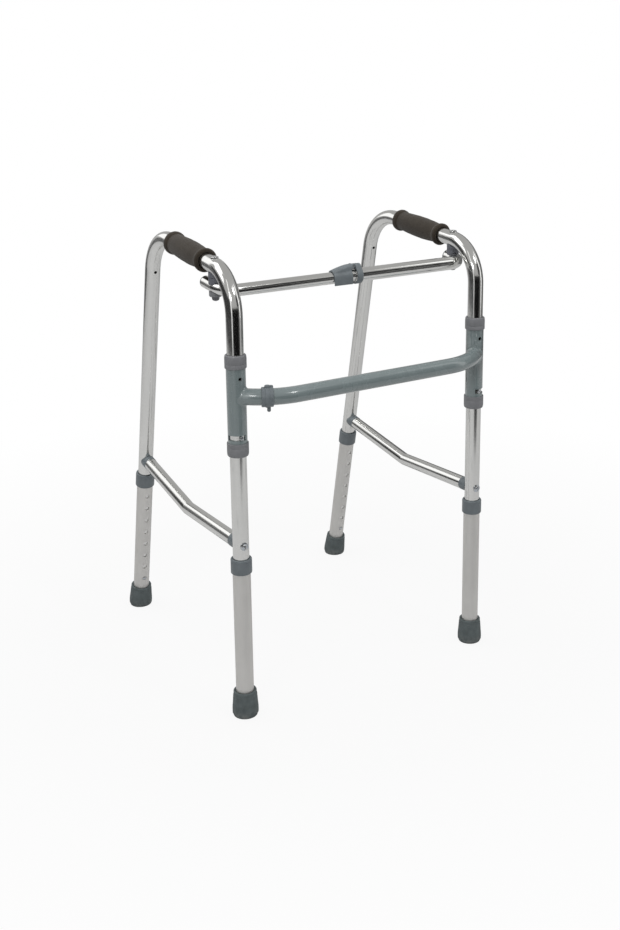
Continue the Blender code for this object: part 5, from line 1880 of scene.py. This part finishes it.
@dataclass
class Studio:
    """Plain pale studio: floor, white surround, soft lamps, dark cards and the camera."""

    floor_half: float = 9.0
    floor_z: float = -0.0002
    surround: float = 0.60
    mirror_surround: float = 0.44
    mirror_colour: Colour = (1.0, 0.995, 0.98)
    lens: float = 47.235
    lens_shift: Span = (-0.0790, -0.1524)
    camera_place: tuple[float, float, float] = (-0.9900, -1.7870, 1.0568)
    camera_turn: Span = (76.4325, -33.1461)
    floor_tone: float = 0.54
    floor_fade: Span = (0.45, 1.3)
    floor_white: Span = (0.90, 1.0)
    lamp_table: tuple[tuple[str, float, float, float, float, float, float, bool], ...] = (
        ("overhead", 0.0, 0.2, 2.6, 2.2, 2.2, 23.0, False),
        ("left_strip", -54.0, 1.49, 1.2, 0.20, 2.2, 1.1, True),
        ("right_strip", 54.0, 1.95, 1.2, 0.40, 2.2, 2.6, True),
        ("back_box", -157.0, 2.1, 1.55, 1.1, 1.2, 3.4, True),
        ("side_box", -109.9, 1.79, 1.99, 1.3, 0.75, 4.3, True),
        ("high_box", -129.4, 1.51, 2.6, 1.6, 1.3, 8.2, True),
        ("left_key", -47.1, 2.2, 1.65, 0.35, 0.35, 5.2, True),
        ("front_key", 17.0, 2.0, 2.45, 0.34, 0.45, 7.4, True))
    round_cards: tuple[tuple[float, float, float, float, float], ...] = (
        (0.056, -101.0, 80.0, 2.4, 1.3), (0.20, -151.0, 22.0, 2.4, 0.8),
        (0.18, 101.0, 76.0, 2.1, 1.7))
    flat_cards: tuple[tuple[float, float, float, float, float], ...] = (
        (0.010, -1.85, 0.65, 0.0, 0.9), (0.09, 0.65, 1.45, 0.0, 0.9),
        (0.05, 0.50, 1.70, 0.95, 1.9))
    flat_card_y: float = -1.75
    floor_cards: tuple[tuple[float, float, float, float, float], ...] = (
        (0.01, -0.34, 0.72, -1.75, -1.56), (0.04, -0.34, 0.66, -1.56, -1.40),
        (0.13, -0.32, 0.60, -1.40, -1.26))
    floor_card_z: float = 0.001

    def build(self) -> None:
        """Make the floor, the surround, the lamps, the cards and the camera."""
        self.world()
        self.floor()
        self.lamps()
        self.cards()
        self.camera()
        bpy.context.scene.view_settings.view_transform = "Standard"

    def world(self) -> None:
        """White where the camera looks, softer where it lights and where metal mirrors it."""
        world = bpy.data.worlds.new("studio_surround")
        bpy.context.scene.world = world
        world.use_nodes = True
        nodes, links = world.node_tree.nodes, world.node_tree.links
        light, rays = nodes["Background"], nodes.new("ShaderNodeLightPath")
        mirrored, seen = nodes.new("ShaderNodeBackground"), nodes.new("ShaderNodeBackground")
        for glow, colour, strength in ((light, (1.0, 1.0, 1.0), self.surround),
                                       (mirrored, self.mirror_colour, self.mirror_surround),
                                       (seen, (1.0, 1.0, 1.0), 1.0)):
            glow.inputs["Color"].default_value = (*colour, 1.0)
            glow.inputs["Strength"].default_value = strength
        first, second = nodes.new("ShaderNodeMixShader"), nodes.new("ShaderNodeMixShader")
        glossy = nodes.new("ShaderNodeMath")
        glossy.operation = "MAXIMUM"
        for output, socket in ((rays.outputs["Is Glossy Ray"], glossy.inputs[0]),
                               (rays.outputs["Is Transmission Ray"], glossy.inputs[1]),
                               (glossy.outputs[0], first.inputs[0]),
                               (light.outputs[0], first.inputs[1]),
                               (mirrored.outputs[0], first.inputs[2]),
                               (rays.outputs["Is Camera Ray"], second.inputs[0]),
                               (first.outputs[0], second.inputs[1]),
                               (seen.outputs[0], second.inputs[2]),
                               (second.outputs[0], nodes["World Output"].inputs["Surface"])):
            links.new(output, socket)

    def floor(self) -> None:
        """White floor that keeps the walker's shadow."""
        bm = bmesh.new()
        bmesh.ops.create_grid(bm, x_segments=1, y_segments=1, size=self.floor_half)
        mesh = bpy.data.meshes.new("floor")
        bm.to_mesh(mesh)
        bm.free()
        floor = bpy.data.objects.new("floor", mesh)
        floor.location.z = self.floor_z
        bpy.context.scene.collection.objects.link(floor)
        graph = Graph("floor_paper")
        graph.put("Base Color", (self.floor_tone,) * 3)
        graph.put("Roughness", 0.9)
        distance = graph.add("VectorMath", {"operation": "LENGTH"})
        graph.feed(distance.inputs[0], graph.add("TexCoord").outputs["Object"])
        share = graph.times(graph.add("LightPath").outputs["Is Camera Ray"],
                            graph.remap(distance.outputs["Value"], self.floor_fade,
                                        self.floor_white))
        mix = graph.add("MixShader")
        glow = graph.add("Emission", Strength=1.0).outputs[0]
        for socket, value in zip(mix.inputs, (share, graph.shader.outputs[0], glow)):
            graph.feed(socket, value)
        graph.feed(graph.nodes["Material Output"].inputs["Surface"], mix.outputs[0])
        mesh.materials.append(graph.material)

    def lamps(self) -> None:
        """Soft lamps: a wide one overhead, strips that the tubes mirror, keys for the paint."""
        for name, azimuth, reach, height, width, tall, power, mirrored in self.lamp_table:
            self.lamp(name, self.around(azimuth, reach, height), (width, tall), power, mirrored)

    @staticmethod
    def around(azimuth: float, reach: float, height: float) -> Vector:
        """Point round the walker; azimuth 0 is in front of it and 90 to its right."""
        angle = math.radians(azimuth)
        return Vector((math.sin(angle) * reach, -math.cos(angle) * reach, height))

    @staticmethod
    def lamp(name: str, place: Vector, size: Span, power: float,
             mirrored: bool = True) -> None:
        """Rectangular soft lamp that looks at the walker's middle.

        Args:
            name: the lamp's name.
            place: its middle.
            size: width and height.
            power: in watts.
            mirrored: whether bright metal shows it.
        """
        data = bpy.data.lights.new(name, "AREA")
        data.shape = "RECTANGLE"
        data.size, data.size_y = size
        data.energy = power
        lamp = bpy.data.objects.new(name, data)
        lamp.location = place
        look = Vector((0, 0, 0.45)) - place
        lamp.rotation_euler = look.to_track_quat("-Z", "Y").to_euler()
        lamp.visible_camera = False
        lamp.visible_glossy = mirrored
        bpy.context.scene.collection.objects.link(lamp)

    def cards(self) -> None:
        """Dark cards that only mirrors see, so that the bright tubes show dark streaks."""
        for shade, azimuth, spread, reach, height in self.round_cards:
            bm = bmesh.new()
            start = self.around(azimuth - spread / 2, reach, 0.0)
            ends = [bm.verts.new(start + Vector((0, 0, z))) for z in (0.0, height)]
            bmesh.ops.spin(bm, geom=[bm.edges.new(ends)], cent=(0, 0, 0), axis=(0, 0, 1),
                           angle=math.radians(spread), steps=24, use_duplicate=False)
            self.card(bm, shade)
        for shade, left, right, low, high in self.flat_cards:
            self.flat_card(shade, (left, self.flat_card_y, low), (right, self.flat_card_y, low),
                           (right, self.flat_card_y, high), (left, self.flat_card_y, high))
        for shade, left, right, far, near in self.floor_cards:
            self.flat_card(shade, (left, far, self.floor_card_z), (right, far, self.floor_card_z),
                           (right, near, self.floor_card_z), (left, near, self.floor_card_z))

    def flat_card(self, shade: float, *corners: tuple[float, float, float]) -> None:
        """Hang a flat card.

        Args:
            shade: its grey.
            corners: its four corners in turn.
        """
        bm = bmesh.new()
        bm.faces.new([bm.verts.new(corner) for corner in corners])
        self.card(bm, shade)

    @staticmethod
    def card(bm: bmesh.types.BMesh, shade: float) -> None:
        """Hang one card, which camera and light pass through.

        Args:
            bm: its shape.
            shade: its grey.
        """
        name = f"card_{round(shade * 1000)}"
        mesh = bpy.data.meshes.new(name)
        bm.to_mesh(mesh)
        bm.free()
        graph = Graph(name)
        graph.put("Base Color", (shade,) * 3)
        graph.put("Roughness", 1.0)
        graph.put("Specular IOR Level", 0.0)
        mesh.materials.append(graph.material)
        card = bpy.data.objects.new(name, mesh)
        bpy.context.scene.collection.objects.link(card)
        for ray in ("camera", "diffuse", "shadow", "transmission", "volume_scatter"):
            setattr(card, f"visible_{ray}", False)

    def camera(self) -> None:
        """Camera where the photograph was taken from."""
        data = bpy.data.cameras.new("camera")
        data.sensor_width = 36.0
        data.lens = self.lens
        data.shift_x, data.shift_y = self.lens_shift
        camera = bpy.data.objects.new("camera", data)
        camera.location = self.camera_place
        tilt, turn = self.camera_turn
        camera.rotation_euler = (math.radians(tilt), 0.0, math.radians(turn))
        bpy.context.scene.collection.objects.link(camera)
        bpy.context.scene.camera = camera


def assemblies() -> Iterable[object]:
    """The sub-assemblies in the order in which they are built.

    Returns:
        Each of them in turn, ready to be built.
    """
    yield FrontBrace()
    for side in Side:
        yield SideFrame(side)
        yield HeightLeg(f"{side.label}_front", STANCE.side(side), 1, 7, (0.2424, 0.2664))
        yield HeightLeg(f"{side.label}_rear", STANCE.rear_leg(side), -1, 8, (0.2608, 0.2861),
                        STANCE.lean)
    bar = TopBar()
    yield bar
    yield Latch(bar)
    yield Studio()


def main() -> None:
    """Build the walker's looks, one sub-assembly after another, logging each."""
    logging.basicConfig(level=logging.INFO, format="%(name)s %(message)s")
    for assembly in assemblies():
        LOG.info("%s", type(assembly).__name__)
        assembly.build()


if __name__ == "__main__":
    main()
